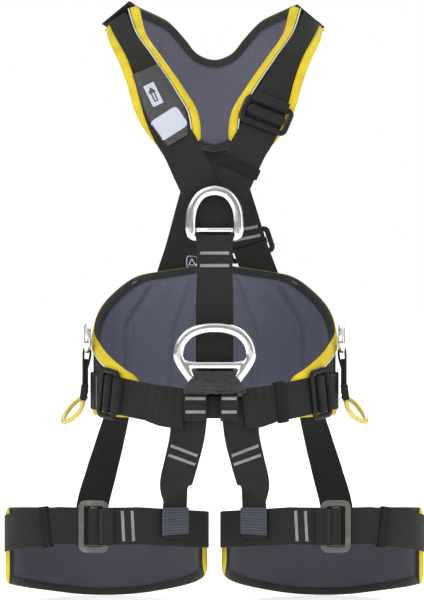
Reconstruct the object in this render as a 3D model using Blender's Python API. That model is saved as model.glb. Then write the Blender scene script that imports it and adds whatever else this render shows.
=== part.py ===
"""Full body work positioning harness: webbing, padding, forged rings and strap adjusters.

Front is -Y, up is +Z, "left" is the -X side. Heights are given above the lowest edge of the leg pads;
the parent empty shifts them so that the world origin is the middle of the wearer's waist.
"""

import functools
import math

import bmesh
import bpy
from mathutils import Vector

# Driving sizes, in metres
WAIST_HEIGHT = 0.330        # the world origin, above the lowest edge of the leg pads
WEB_WIDTH = 0.0445          # load webbing
WEB_THICK = 0.0022
PAD_THICK = 0.009
GAP = 0.0004                # clearance between neighbouring layers
RUNNING = 0.0005            # clearance between a bar and the loop that turns on it

WAIST_HALF_WIDTH = 0.146    # oval of the waist pad, middle of its thickness
WAIST_HALF_DEPTH = 0.114
WAIST_PAD_END = 142.0       # degrees from the back to each front end of the waist pad
WAIST_PAD_BOTTOM = 0.236
BELT_HEIGHT = 0.265         # middle of the belt webbing at the hips
BELT_DIP = 0.017            # how much lower the belt ends are at the front
BELT_BUCKLE_ANGLE = 124.0
BELT_END_ANGLE = 167.0
KEEPER_ANGLE = 148.5

LEG_HALF_WIDTH = 0.119      # oval of a leg loop, middle of the pad's thickness
LEG_HALF_DEPTH = 0.100
LEG_APART = 0.028           # clear space between the two leg loops
LEG_PAD_END = 100.0         # degrees from the back to each end of a leg pad
LEG_STRAP_HEIGHT = 0.107    # middle of the leg strap at the front
LEG_BUCKLE_ANGLE = 175.0
LEG_KEEPER_ANGLE = 146.0

CHEST_DEPTH = 0.118         # chest webbing in front of the middle of the body
YOKE_DEPTH = 0.115          # lower end of the back yoke behind the middle of the body
YOKE_HEIGHT = 0.567
CROSS_HEIGHT = 0.590        # where the straps cross on the back

STERNAL_HEIGHT = 0.4485     # hinge line of the chest ring
SLEEVE_LAP = 0.00475        # how far the belly ring's hinge line lies below the belt ends' top edge
VENTRAL_HEIGHT = BELT_HEIGHT - BELT_DIP + WEB_WIDTH / 2 - SLEEVE_LAP
SIDE_HEIGHT = 0.3140        # hinge line of the hip rings
SIDE_ANGLE = 93.0
DORSAL_HEIGHT = 0.578       # hinge line of the back ring
RING_BAR = 0.0024           # radius of the bar that a webbing loop holds
RING_PIN = 0.0032
GEAR_TUBE = 0.003           # radius of a gear loop's tube

BUCKLE_BAR = 0.007          # width of an adjuster frame's bars
BUCKLE_THICK = 0.004
BUCKLE_LENGTH = 0.036       # along the strap
BUCKLE_CORNER = 0.005
BUCKLE_CLEAR = 0.0018       # beside the webbing in the frame
SLIDE_BAR = 0.008
KEEPER_LENGTH = 0.013
KEEPER_WALL = 0.0011
KEEPER_CLEAR = 0.0009
KEEPER_CORNER = 0.0012

STEP = 0.011                # longest straight stretch in a curve

# Section outlines: x across, y through the thickness, as shares of half the width and half the thickness
FLAT = ((-1, -1), (1, -1), (1, 1), (-1, 1))
CROWNED = ((-1, -0.35), (-0.86, -1), (0.86, -1), (1, -0.35), (1, 0.35), (0.86, 1), (-0.86, 1), (-1, 0.35))
EASED = ((-1, -0.6), (-0.6, -1), (0.6, -1), (1, -0.6), (1, 0.6), (0.6, 1), (-0.6, 1), (-1, 0.6))
ROUND = tuple((math.cos(math.radians(22.5 + 45 * k)), math.sin(math.radians(22.5 + 45 * k))) for k in range(8))

# Finishes: colour, roughness, metallic
WEBBING = ("webbing", (0.020, 0.020, 0.019), 0.85, 0.0)
LINING = ("lining", (0.095, 0.097, 0.13), 0.9, 0.0)
ALLOY = ("ring_alloy", (0.80, 0.81, 0.80), 0.22, 1.0)
STEEL = ("pin_steel", (0.86, 0.86, 0.84), 0.15, 1.0)
BLACK_BUCKLE = ("buckle_black", (0.018, 0.018, 0.018), 0.45, 0.2)
GREY_BUCKLE = ("buckle_grey", (0.095, 0.095, 0.09), 0.55, 0.3)
ELASTIC = ("elastic", (0.016, 0.016, 0.016), 0.95, 0.0)
SLEEVE = ("sleeve", (0.012, 0.012, 0.012), 0.4, 0.0)
GEAR_YELLOW = ("gear_tube", (0.68, 0.52, 0.16), 0.5, 0.0)

SIDES = (("left", -1), ("right", 1))
UP = Vector((0.0, 0.0, 1.0))
FRONT = Vector((0.0, -1.0, 0.0))
BODY_CORE = Vector((0.0, 0.0, 0.60))


def clear_scene():
    for item in list(bpy.data.objects):
        bpy.data.objects.remove(item)


def material(finish):
    name, colour, roughness, metallic = finish
    made = bpy.data.materials.get(name)
    if made is None:
        made = bpy.data.materials.new(name)
        made.use_nodes = True
        shader = made.node_tree.nodes["Principled BSDF"]
        shader.inputs["Base Color"].default_value = (*colour, 1.0)
        shader.inputs["Roughness"].default_value = roughness
        shader.inputs["Metallic"].default_value = metallic
    return made


def layer(number):
    """Distance from the middle of a pad to the middle of a webbing layer outside it."""
    return PAD_THICK / 2 + GAP + WEB_THICK / 2 + number * (WEB_THICK + GAP)


def mirror(point, side):
    return Vector((side * point[0], point[1], point[2]))


def smooth(rows, step=STEP, closed=False):
    """A smooth curve through rows of numbers, of which the first three are a place."""
    rows = [tuple(row) for row in rows]
    count = len(rows)
    spans = count if closed else count - 1

    def row(index):
        return rows[index % count] if closed else rows[min(max(index, 0), count - 1)]

    def distance(index):
        return max((Vector(row(index + 1)[:3]) - Vector(row(index)[:3])).length, 1e-6)

    def slope(index):
        before, here, after = row(index - 1), row(index), row(index + 1)
        if not closed and index == 0:
            return [(b - a) / distance(0) for a, b in zip(here, after)]
        if not closed and index == count - 1:
            return [(b - a) / distance(index - 1) for a, b in zip(before, here)]
        back, ahead = distance(index - 1), distance(index)
        return [
            ((b - a) / back * ahead + (c - b) / ahead * back) / (back + ahead)
            for a, b, c in zip(before, here, after)
        ]

    curve = []
    for index in range(spans):
        length = distance(index)
        pieces = max(1, math.ceil(length / step - 0.2))
        start, end = row(index), row(index + 1)
        leave, arrive = slope(index), slope(index + 1)
        for piece in range(pieces):
            t = piece / pieces
            curve.append([
                a * (2 * t**3 - 3 * t**2 + 1) + length * m * (t**3 - 2 * t**2 + t)
                + b * (3 * t**2 - 2 * t**3) + length * n * (t**3 - t**2)
                for a, b, m, n in zip(start, end, leave, arrive)
            ])
    if not closed:
        curve.append(list(rows[-1]))
    return curve


def shell(name, sections, finish, closed=False, pivot=None):
    """One closed body over sections of equally many points; pivot is the object's own origin."""
    origin = Vector(pivot) if pivot is not None else Vector((0.0, 0.0, 0.0))
    work = bmesh.new()
    rings = [[work.verts.new(point - origin) for point in section] for section in sections]
    size = len(rings[0])
    pairs = list(zip(rings, rings[1:]))
    if closed:
        pairs.append((rings[-1], rings[0]))
    for first, second in pairs:
        for k in range(size):
            work.faces.new((first[k], first[(k + 1) % size], second[(k + 1) % size], second[k]))
    if not closed:
        work.faces.new(rings[0])
        work.faces.new(rings[-1])
    bmesh.ops.recalc_face_normals(work, faces=work.faces)
    mesh = bpy.data.meshes.new(name)
    work.to_mesh(mesh)
    work.free()
    mesh.shade_smooth()
    mesh.set_sharp_from_angle(angle=math.radians(35))
    mesh.materials.append(material(finish))
    made = bpy.data.objects.new(name, mesh)
    bpy.context.collection.objects.link(made)
    made.parent = HARNESS
    made.location = origin
    return made


def sections_of(frames, outline):
    return [[centre + across * x + outward * y for x, y in outline] for centre, across, outward in frames]


def turned_frames(rows):
    """Frames along rows of place, outward direction, width and thickness."""
    places = [Vector(row[:3]) for row in rows]
    frames = []
    for index, row in enumerate(rows):
        ahead = places[min(index + 1, len(places) - 1)]
        behind = places[max(index - 1, 0)]
        along = (ahead - behind).normalized()
        across = along.cross(Vector(row[3:6])).normalized()
        outward = across.cross(along)
        frames.append((places[index], across * row[6] / 2, outward * row[7] / 2))
    return frames


def station(point, outward, width=WEB_WIDTH, thickness=WEB_THICK):
    return (*point, *outward, width, thickness)


def run(name, rows, finish=WEBBING, pivot=None):
    """A strap along rows that are already close together."""
    return shell(name, sections_of(turned_frames(rows), FLAT), finish, pivot=pivot)


def strap(name, stations, finish=WEBBING, step=STEP, pivot=None):
    return run(name, smooth(stations, step), finish, pivot)


def edge_frames(rows, thickness, step=STEP):
    """Frames of a pad between two edges, facing away from the body."""
    curve = smooth([(*inner, *outer) for inner, outer in rows], step)
    middles = [(Vector(row[:3]) + Vector(row[3:6])) / 2 for row in curve]
    frames = []
    for index, row in enumerate(curve):
        along = middles[min(index + 1, len(middles) - 1)] - middles[max(index - 1, 0)]
        across = (Vector(row[3:6]) - Vector(row[:3])) / 2
        outward = across.cross(along).normalized()
        if outward.dot(middles[index] - BODY_CORE) < 0:
            outward = -outward
        frames.append((middles[index], across, outward * thickness / 2))
    return frames


def hoop(name, path, place, axes, finish, outline=ROUND, step=None, pivot=None):
    """A closed ring: path holds (u, v, half width in the ring's plane, half thickness) in the given axes."""
    u_axis, v_axis, w_axis = axes
    rows = [(u, v, 0.0, half, thick) for u, v, half, thick in path]
    if step is not None:
        rows = smooth(rows, step, closed=True)
    count = len(rows)
    frames = []
    for index, row in enumerate(rows):
        ahead, behind = rows[(index + 1) % count], rows[index - 1]
        du, dv = ahead[0] - behind[0], ahead[1] - behind[1]
        size = math.hypot(du, dv)
        side = u_axis * (dv / size) - v_axis * (du / size)
        centre = place + u_axis * row[0] + v_axis * row[1]
        frames.append((centre, side * row[3], w_axis * row[4]))
    return shell(name, sections_of(frames, outline), finish, closed=True, pivot=pivot)


def rounded_path(width, height, corner, half, thick, turns=3):
    """Centre line of a rectangular frame with round corners."""
    path = []
    for quarter in range(4):
        sx = (1, -1, -1, 1)[quarter]
        sy = (1, 1, -1, -1)[quarter]
        for k in range(turns + 1):
            angle = math.radians(90 * quarter + 90 * k / turns)
            u = sx * (width / 2 - corner) + corner * math.cos(angle)
            v = sy * (height / 2 - corner) + corner * math.sin(angle)
            path.append((u, v, half, thick))
    return path


def rod(name, start, end, across, outward, finish, outline=ROUND, pivot=None):
    frames = [(start, across, outward), (end, across, outward)]
    return shell(name, sections_of(frames, outline), finish, pivot=pivot)


def oval(half_width, half_depth, degrees, offset, height):
    """Place and outward direction on an upright oval, degrees counted from the back towards +X."""
    turn = math.radians(degrees)
    outward = Vector((math.sin(turn) / half_width, math.cos(turn) / half_depth, 0.0)).normalized()
    point = Vector((half_width * math.sin(turn), half_depth * math.cos(turn), height)) + outward * offset
    return point, outward


def waist(degrees, offset, height):
    return oval(WAIST_HALF_WIDTH, WAIST_HALF_DEPTH, degrees, offset, height)


def leg(side, degrees, offset, height):
    """On a leg's oval, degrees counted from the back towards the outer side."""
    point, outward = oval(LEG_HALF_WIDTH, LEG_HALF_DEPTH, degrees, offset, height)
    point.x += LEG_HALF_WIDTH + LEG_APART / 2
    return mirror(point, side), mirror(outward, side)


def between(table, value):
    """Straight interpolation in a table of (value, result) pairs."""
    for (low, first), (high, second) in zip(table, table[1:]):
        if value <= high:
            share = (value - low) / (high - low)
            return first + (second - first) * share
    return table[-1][1]


def frame_on(locate, degrees):
    """Place, along, across and outward where a strap round an oval passes an angle; locate maps one to the other."""
    (before, _), (middle, outward), (after, _) = locate(degrees - 2), locate(degrees), locate(degrees + 2)
    along = (after - before).normalized()
    across = along.cross(outward).normalized()
    return middle, along, across, across.cross(along)


def degrees_between(start, end, step):
    count = max(1, round(abs(end - start) / step))
    return [start + (end - start) * k / count for k in range(count + 1)]


# ---------------------------------------------------------------- pads

WAIST_TOP = ((0, 0.4226), (42, 0.407), (71, 0.368), (95, 0.3325), (120, 0.306), (139, 0.284), (180, 0.275))


def waist_pad():
    frames = []
    for degrees in degrees_between(-WAIST_PAD_END, WAIST_PAD_END, 8):
        top = between(WAIST_TOP, abs(degrees))
        point, outward = waist(degrees, 0.0, (top + WAIST_PAD_BOTTOM) / 2)
        frames.append((point, UP * (top - WAIST_PAD_BOTTOM) / 2, outward * PAD_THICK / 2))
    shell("waist_pad", sections_of(frames, CROWNED), LINING)


LEG_BOTTOM = ((-100, 0.046), (-60, 0.022), (0, 0.0), (60, 0.018), (100, 0.030))
LEG_TOP = ((-100, 0.104), (0, 0.108), (100, 0.121))


def leg_pad(name, side):
    frames = []
    for degrees in degrees_between(-LEG_PAD_END, LEG_PAD_END, 9):
        low, high = between(LEG_BOTTOM, degrees), between(LEG_TOP, degrees)
        point, outward = leg(side, degrees, 0.0, (low + high) / 2)
        frames.append((point, UP * (high - low) / 2, outward * PAD_THICK / 2))
    shell(f"leg_pad_{name}", sections_of(frames, CROWNED), LINING)


SHOULDER_SEAM = 0.0028      # half the space between a front pad and the yoke on top of the shoulder
# Inner and outer edge of the right front pad from the shoulder down; fractions place the strap between them
SHOULDER_PAD = (
    ((0.0944, -SHOULDER_SEAM, 0.7369), (0.1327, -SHOULDER_SEAM, 0.7073)),
    ((0.0836, -0.0350, 0.6998), (0.1275, -0.0350, 0.6912)),
    ((0.0621, -0.0700, 0.6658), (0.1152, -0.0700, 0.6658)),
    ((0.0365, -0.0900, 0.6279), (0.1036, -0.0900, 0.6339)),
    ((0.0209, -0.1000, 0.6008), (0.0925, -0.1000, 0.5972)),
    ((0.0173, -0.1050, 0.5789), (0.0792, -0.1050, 0.5742)),
    ((0.0184, -0.1080, 0.5585), (0.0613, -0.1080, 0.5525)),
)
YOKE_HALF = (
    ((0.0944, SHOULDER_SEAM, 0.7369), (0.1327, SHOULDER_SEAM, 0.7073)),
    ((0.0901, 0.0220, 0.7368), (0.1300, 0.0220, 0.7060)),
    ((0.0746, 0.0450, 0.7323), (0.1230, 0.0560, 0.6900)),
    ((0.0562, 0.0700, 0.7251), (0.1080, 0.0850, 0.6640)),
    ((0.0375, 0.0850, 0.7065), (0.0830, 0.1020, 0.6320)),
    ((0.0210, 0.0950, 0.6885), (0.0500, YOKE_DEPTH - 0.004, 0.5920)),
    ((0.0000, 0.1000, 0.6820), (0.0000, YOKE_DEPTH, YOKE_HEIGHT)),
)


def shoulder_rows(side):
    return [(mirror(inner, side), mirror(outer, side)) for inner, outer in SHOULDER_PAD]


def yoke_rows():
    left = [(mirror(inner, -1), mirror(outer, -1)) for inner, outer in YOKE_HALF]
    right = [(Vector(inner), Vector(outer)) for inner, outer in reversed(YOKE_HALF[:-1])]
    return left + right


def shoulder_pad(name, side):
    shell(f"shoulder_pad_{name}", sections_of(edge_frames(shoulder_rows(side), PAD_THICK), CROWNED), LINING)


def back_yoke_pad():
    shell("back_yoke_pad", sections_of(edge_frames(yoke_rows(), PAD_THICK), CROWNED), LINING)


def laid(rows, fractions, offset):
    """Strap stations on the outside of a pad, at a fraction of its width from its inner edge."""
    frames = edge_frames(rows, 2.0, step=1.0)
    return [
        station(centre + across * (2 * share - 1) + outward * offset, outward)
        for (centre, across, outward), share in zip(frames, fractions)
    ]


# ---------------------------------------------------------------- upper body webbing

SHOULDER_BUCKLE_HEIGHT = 0.595
SHOULDER_KEEPER_HEIGHT = 0.534
DORSAL_BUCKLE_HEIGHT = 0.4475
STRAP_SHARES = (0.52, 0.51, 0.56, 0.60, 0.59, 0.57, 0.50)


def front_strap_stations(side, depth):
    """From the shoulder over the front pad and down behind the chest ring."""
    stations = laid(shoulder_rows(side), STRAP_SHARES, layer(0) + 0.001)
    for x, height in ((0.0270, 0.528), (0.0136, 0.4996), (-0.0018, 0.4663), (-0.0060, 0.4530)):
        stations.append(station((side * x, -CHEST_DEPTH - depth, height), FRONT))
    return stations


def frame_at(rows, height):
    """Place, along, across and outward of a strap's curve where it passes a height on its way down."""
    at = next(k for k in range(1, len(rows)) if rows[k][2] <= height)
    start, end = Vector(rows[at - 1][:3]), Vector(rows[at][:3])
    middle = start.lerp(end, (start.z - height) / (start.z - end.z))
    along = (end - start).normalized()
    across = along.cross(Vector(rows[at][3:6])).normalized()
    return at, (middle, along, across, across.cross(along))


def divide(stations, height, space=0.0014):
    """The two runs of a strap above and below an adjuster, and the frame at the adjuster's middle."""
    rows = smooth(stations)
    at, frame = frame_at(rows, height)
    middle, along, _, outward = frame
    upper = rows[:at - 1] + [station(middle - along * space / 2, outward)]
    lower = [station(middle + along * space / 2, outward)] + rows[at + 1:]
    return upper, lower, frame


def adjuster(name, frame, finish, extra=0.0):
    """A flat frame in front of a strap with a bar that slides along the strap."""
    middle, along, across, outward = frame
    lift = WEB_THICK / 2 + GAP + BUCKLE_THICK / 2 + extra
    place = middle + outward * lift
    inner = WEB_WIDTH + 2 * BUCKLE_CLEAR
    size = (BUCKLE_LENGTH - BUCKLE_BAR, inner + BUCKLE_BAR)
    path = rounded_path(*size, BUCKLE_CORNER, BUCKLE_BAR / 2, BUCKLE_THICK / 2)
    hoop(f"{name}_frame", path, place, (along, across, outward), finish, EASED)
    reach = across * (inner / 2 - GAP)
    half = along * SLIDE_BAR / 2
    rod(f"{name}_slide_bar", place - reach, place + reach, half, outward * BUCKLE_THICK * 0.4, finish, EASED, place)


def keeper(name, frame):
    """An elastic band round a strap."""
    middle, along, across, outward = frame
    path = rounded_path(
        WEB_WIDTH + 2 * KEEPER_CLEAR + KEEPER_WALL, WEB_THICK + 2 * KEEPER_CLEAR + KEEPER_WALL, KEEPER_CORNER,
        KEEPER_WALL / 2, KEEPER_LENGTH / 2, 2,
    )
    hoop(name, path, middle, (across, outward, along), ELASTIC, FLAT, pivot=middle)


def front_straps():
    outer = front_strap_stations(-1, WEB_THICK + GAP + 0.0006)
    strap("shoulder_strap_left", outer)
    inner = front_strap_stations(1, 0.0)
    upper, lower, frame = divide(inner, SHOULDER_BUCKLE_HEIGHT)
    run("shoulder_strap_right_upper", upper)
    run("shoulder_strap_right_lower", lower)
    adjuster("shoulder_buckle", frame, BLACK_BUCKLE, extra=0.0012)
    keeper("shoulder_strap_keeper", frame_at(smooth(inner), SHOULDER_KEEPER_HEIGHT)[1])


def dorsal_stations(side, number, waist_x):
    """From one shoulder over the yoke, across the back, to the other side of the waist pad."""
    half = [(mirror(inner, side), mirror(outer, side)) for inner, outer in YOKE_HALF]
    lift = layer(2 * number) + 0.001
    stations = laid(half, (0.52, 0.50, 0.50, 0.50, 0.52, 0.60, 0.80), lift)[:6]
    stations.append(station((0.0, YOKE_DEPTH + lift, CROSS_HEIGHT), (0, 1, 0)))
    slope = waist_x / (CROSS_HEIGHT - 0.410)
    for height in (0.545, 0.490, 0.430):
        x = slope * (CROSS_HEIGHT - height)
        stations.append(station((-side * x, WAIST_HALF_DEPTH + lift + 0.001, height), (0, 1, 0)))
    for height in (0.400, 0.370, 0.325):
        x = slope * (CROSS_HEIGHT - height)
        depth = WAIST_HALF_DEPTH * math.sqrt(1 - (x / WAIST_HALF_WIDTH) ** 2)
        outward = Vector((-side * x / WAIST_HALF_WIDTH ** 2, depth / WAIST_HALF_DEPTH ** 2, 0)).normalized()
        point = Vector((-side * x, depth, height)) + outward * (layer(0) + 0.0004)
        stations.append(station(point, outward))
    return stations


def back_straps():
    strap("dorsal_strap_left", dorsal_stations(1, 0, 0.050))
    crossing = dorsal_stations(-1, 1, 0.0575)
    upper, lower, frame = divide(crossing, DORSAL_BUCKLE_HEIGHT)
    run("dorsal_strap_right_upper", upper)
    run("dorsal_strap_right_lower", lower)
    adjuster("dorsal_buckle", frame, BLACK_BUCKLE)


# ---------------------------------------------------------------- rings


def ring_loop(radius):
    """Radius of a webbing loop's middle round a bar."""
    return radius + RUNNING + WEB_THICK / 2


def fold(axis, radius, out, up, steps=6):
    """Half turn of webbing over a bar, from the body side to the outer side."""
    turns = []
    for k in range(steps + 1):
        angle = math.pi * k / steps
        outward = -out * math.cos(angle) + up * math.sin(angle)
        turns.append((axis + outward * radius, outward))
    return turns


CHEST_STRAP_WIDTH = 0.0425
RING_Y = -(CHEST_DEPTH + 0.0135)
STERNAL = (
    (0.0000, 0.0000, RING_BAR, RING_BAR), (0.0212, 0.0000, RING_BAR, RING_BAR),
    (0.0262, 0.0022, 0.0042, 0.0042), (0.0280, 0.0100, 0.0060, 0.0046), (0.0282, 0.0200, 0.0060, 0.0046),
    (0.0250, 0.0385, 0.0060, 0.0046), (0.0150, 0.0525, 0.0060, 0.0046), (0.0000, 0.0570, 0.0060, 0.0046),
)
VENTRAL = (
    (0.0000, 0.0075, 0.0030, 0.0030), (0.0170, 0.0075, 0.0030, 0.0030),
    (0.0235, 0.0092, 0.0044, 0.0042), (0.0275, 0.0180, 0.0055, 0.0046), (0.0365, 0.0320, 0.0064, 0.0046),
    (0.0425, 0.0435, 0.0064, 0.0046), (0.0405, 0.0575, 0.0062, 0.0046), (0.0315, 0.0695, 0.0062, 0.0046),
    (0.0160, 0.0765, 0.0060, 0.0046), (0.0000, 0.0782, 0.0060, 0.0046),
)
HIP_RING = (
    (0.0000, 0.0000, RING_BAR, RING_BAR), (0.0215, 0.0000, RING_BAR, RING_BAR),
    (0.0262, 0.0015, 0.0036, 0.0036), (0.0282, 0.0080, 0.0050, 0.0042), (0.0255, 0.0180, 0.0050, 0.0042),
    (0.0150, 0.0255, 0.0050, 0.0042), (0.0000, 0.0280, 0.0050, 0.0042),
)


def both_sides(half):
    """A ring's whole path from its right half, which starts and ends on the middle line."""
    return list(half) + [(-u, v, a, b) for u, v, a, b in reversed(half[1:-1])]


def chest():
    axis = Vector((0.0, RING_Y, STERNAL_HEIGHT))
    axes = (Vector((1, 0, 0)), UP, FRONT)
    hoop("sternal_ring", both_sides(STERNAL), axis, axes, ALLOY, step=0.007, pivot=axis)
    pin = axis + UP * 0.0105
    reach = Vector((0.0218 - GAP, 0, 0))
    rod("sternal_ring_pin", pin - reach, pin + reach, UP * RING_PIN, FRONT * RING_PIN, STEEL, pivot=axis)
    sewn = (WEB_THICK + GAP) / 2 + 0.0002
    low = axis - UP * 0.020
    stations = [
        station(low - UP * 0.022 - FRONT * sewn, -FRONT, CHEST_STRAP_WIDTH),
        station(low - FRONT * sewn, -FRONT, CHEST_STRAP_WIDTH),
    ]
    for point, outward in fold(axis, ring_loop(RING_BAR), FRONT, UP):
        stations.append(station(point, outward, CHEST_STRAP_WIDTH))
    stations.append(station(low + FRONT * sewn, FRONT, CHEST_STRAP_WIDTH))
    stations.append(station(low - UP * 0.022 + FRONT * sewn, FRONT, CHEST_STRAP_WIDTH))
    behind_patch = WAIST_HALF_DEPTH - 0.0026
    for height, depth in ((0.370, 0.0075), (0.310, 0.0030), (0.272, 0.0), (0.244, 0.0)):
        stations.append(station((0, -behind_patch - depth, height), FRONT))
    strap("chest_strap", stations)


FRONT_LAYERS = {
    "patch": 1.5 * WEB_THICK + GAP,
    "riser": 2.5 * WEB_THICK + 2 * GAP,
    "belt": 3.5 * WEB_THICK + 3 * GAP + 0.0018,
}
BELT_END_THICK = 0.003
VENTRAL_Y = -(WAIST_HALF_DEPTH + FRONT_LAYERS["belt"] + BELT_END_THICK / 2 + 0.0044)


def belly():
    axis = Vector((0.0, VENTRAL_Y, VENTRAL_HEIGHT))
    axes = (Vector((1, 0, 0)), UP, FRONT)
    ring = hoop("ventral_ring", both_sides(VENTRAL), axis, axes, ALLOY, step=0.008, pivot=axis)
    level = axis + UP * 0.0338
    reach = Vector((0.0375, 0, 0))
    bridge = rod("ventral_crossbar", level - reach, level + reach, UP * 0.0048, FRONT * 0.0041, ALLOY, pivot=axis)
    bridge.hide_render = True
    bridge.display_type = "WIRE"
    joined = ring.modifiers.new("crossbar", "BOOLEAN")
    joined.operation = "UNION"
    joined.object = bridge
    bar = axis + UP * 0.0075
    radius = ring_loop(0.0046) + 0.0006
    wide = 2 * 0.0385
    path = [
        station(axis - FRONT * 0.0016 + UP * 0.0005, -FRONT, wide, 0.0018),
        station(bar - FRONT * radius - UP * 0.001, -FRONT, wide * 0.93, 0.0018),
        station(bar - FRONT * radius + UP * 0.008, -FRONT, 0.060, 0.0018),
    ]
    top = axis + UP * 0.0225
    for point, outward in fold(top, radius * 0.66, FRONT, UP, 4):
        path.append(station(point, outward, 0.0475, 0.0018))
    path.append(station(bar + FRONT * radius + UP * 0.008, FRONT, 0.060, 0.0018))
    path.append(station(bar + FRONT * radius - UP * 0.001, FRONT, wide * 0.93, 0.0018))
    path.append(station(axis + FRONT * 0.0016 + UP * 0.0005, FRONT, wide, 0.0018))
    strap("ventral_loop_sleeve", path, SLEEVE, pivot=axis, step=0.006)


def hip_ring(name, side):
    offset = layer(0) + ring_loop(RING_BAR) + 0.0012
    point, outward = waist(SIDE_ANGLE, offset, SIDE_HEIGHT)
    axis, outward = mirror(point, side), mirror(outward, side)
    along = UP.cross(outward).normalized()
    hoop(f"side_ring_{name}", both_sides(HIP_RING), axis, (along, UP, outward), ALLOY, step=0.008, pivot=axis)
    width = 0.0405
    radius = ring_loop(RING_BAR)
    sewn = (WEB_THICK + GAP) / 2 + 0.0002
    base = axis + outward * (WEB_THICK + GAP + 0.001 - radius + sewn + 0.0012)
    low = Vector((base.x, base.y, 0.288))
    end = Vector((base.x, base.y, 0.262))
    stations = [
        station(end - outward * sewn, -outward, width),
        station(low - outward * sewn, -outward, width),
    ]
    for place, away in fold(axis, radius, outward, UP):
        stations.append(station(place, away, width))
    stations.append(station(low + outward * sewn, outward, width))
    stations.append(station(end + outward * sewn, outward, width))
    strap(f"side_ring_holder_{name}", stations)


GEAR_PATH = (
    (0.1555, -0.032, 0.2570), (0.1590, -0.035, 0.2430), (0.1690, -0.031, 0.2320), (0.1800, -0.016, 0.2265),
    (0.1830, 0.005, 0.2285), (0.1790, 0.024, 0.2370), (0.1690, 0.035, 0.2490), (0.1555, 0.038, 0.2570),
)


def gear_loop(name, side):
    outer = WAIST_HALF_WIDTH + layer(1) + GEAR_TUBE
    first = GEAR_PATH[0][0]
    places = [mirror((x - first + outer + 0.0022, y, z), side) for x, y, z in GEAR_PATH]
    frames = []
    curve = [Vector(row) for row in smooth(places, 0.009)]
    for index, place in enumerate(curve):
        along = (curve[min(index + 1, len(curve) - 1)] - curve[max(index - 1, 0)]).normalized()
        across = along.cross(UP).normalized()
        frames.append((place, across * GEAR_TUBE, across.cross(along) * GEAR_TUBE))
    hinge = (curve[0] + curve[-1]) / 2
    shell(f"gear_loop_{name}", sections_of(frames, ROUND), GEAR_YELLOW, pivot=hinge)


PLATE_HALF = 0.034
PLATE_THICK = 0.004
DORSAL_LOOP_WIDTH = CHEST_STRAP_WIDTH - 2 * GAP


def dorsal():
    depth = YOKE_DEPTH + layer(2) + 0.001 + WEB_THICK / 2 + GAP + 0.0012
    back = Vector((0, 1, 0))
    corner = PLATE_HALF * 0.45
    outline = (
        (-corner, -PLATE_HALF), (corner, -PLATE_HALF), (PLATE_HALF, -corner), (PLATE_HALF, corner),
        (corner, PLATE_HALF), (-corner, PLATE_HALF), (-PLATE_HALF, corner), (-PLATE_HALF, -corner),
    )
    middle = Vector((0, depth, CROSS_HEIGHT + 0.004))
    levels = ((0.0, 0.94), (0.0008, 1.0), (PLATE_THICK - 0.0008, 1.0), (PLATE_THICK, 0.94))
    sections = [
        [middle + Vector((x * size, y_level, z * size)) for x, z in outline] for y_level, size in levels
    ]
    shell("dorsal_plate", sections, BLACK_BUCKLE)
    radius = ring_loop(RING_BAR)
    axis = Vector((0, depth + PLATE_THICK + GAP + WEB_THICK / 2 + radius, DORSAL_HEIGHT))
    axes = (Vector((1, 0, 0)), -UP, back)
    hoop("dorsal_ring", both_sides(STERNAL), axis, axes, ALLOY, step=0.007, pivot=axis)
    sewn = axis - back * (radius - (WEB_THICK + GAP) / 2)
    top = UP * 0.030
    half = back * (WEB_THICK + GAP) / 2
    stations = [
        station(sewn + top - half, -back, DORSAL_LOOP_WIDTH),
        station(sewn + UP * 0.014 - half, -back, DORSAL_LOOP_WIDTH),
    ]
    for place, away in fold(axis, radius, back, -UP):
        stations.append(station(place, away, DORSAL_LOOP_WIDTH))
    stations.append(station(sewn + UP * 0.014 + half, back, DORSAL_LOOP_WIDTH))
    stations.append(station(sewn + top + half, back, DORSAL_LOOP_WIDTH))
    strap("dorsal_ring_loop", stations)


# ---------------------------------------------------------------- belt


def belt_level(degrees):
    share = max(0.0, (abs(degrees) - 120.0) / (BELT_END_ANGLE - 120.0))
    return BELT_HEIGHT - BELT_DIP * share


def belt_place(degrees):
    return waist(degrees, layer(0), belt_level(degrees))


def belt_stations(start, end):
    return [station(*belt_place(degrees)) for degrees in degrees_between(start, end, 6)]


def belt():
    buckle = BELT_BUCKLE_ANGLE
    stop = 0.35
    strap("waist_belt_back", belt_stations(-buckle + stop, buckle - stop))
    for name, side in SIDES:
        stations = belt_stations(side * (buckle + stop), side * 152.0)
        for degrees in (159.0, 163.0, BELT_END_ANGLE):
            point, outward = waist(side * degrees, FRONT_LAYERS["belt"], belt_level(degrees))
            stations.append(station(point, outward, WEB_WIDTH, BELT_END_THICK))
        strap(f"belt_front_{name}", stations)
        adjuster(f"belt_buckle_{name}", frame_on(belt_place, side * buckle), BLACK_BUCKLE)
    keeper("belt_keeper", frame_on(belt_place, KEEPER_ANGLE))
    patch = []
    for degrees in degrees_between(160.0, 200.0, 8):
        point, outward = waist(degrees, FRONT_LAYERS["patch"], 0.249)
        patch.append(station(point, outward, 0.026))
    strap("belt_centre_patch", patch)


# ---------------------------------------------------------------- leg straps


def leg_strap_level(degrees):
    front = LEG_STRAP_HEIGHT
    return between(((60, 0.085), (95, 0.089), (155, front), (200, front), (240, 0.099), (290, 0.089)), degrees)


def leg_strap_place(side, degrees):
    return leg(side, degrees, layer(0), leg_strap_level(degrees))


def leg_strap_stations(side, start, end):
    return [station(*leg_strap_place(side, degrees)) for degrees in degrees_between(start, end, 8)]


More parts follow.
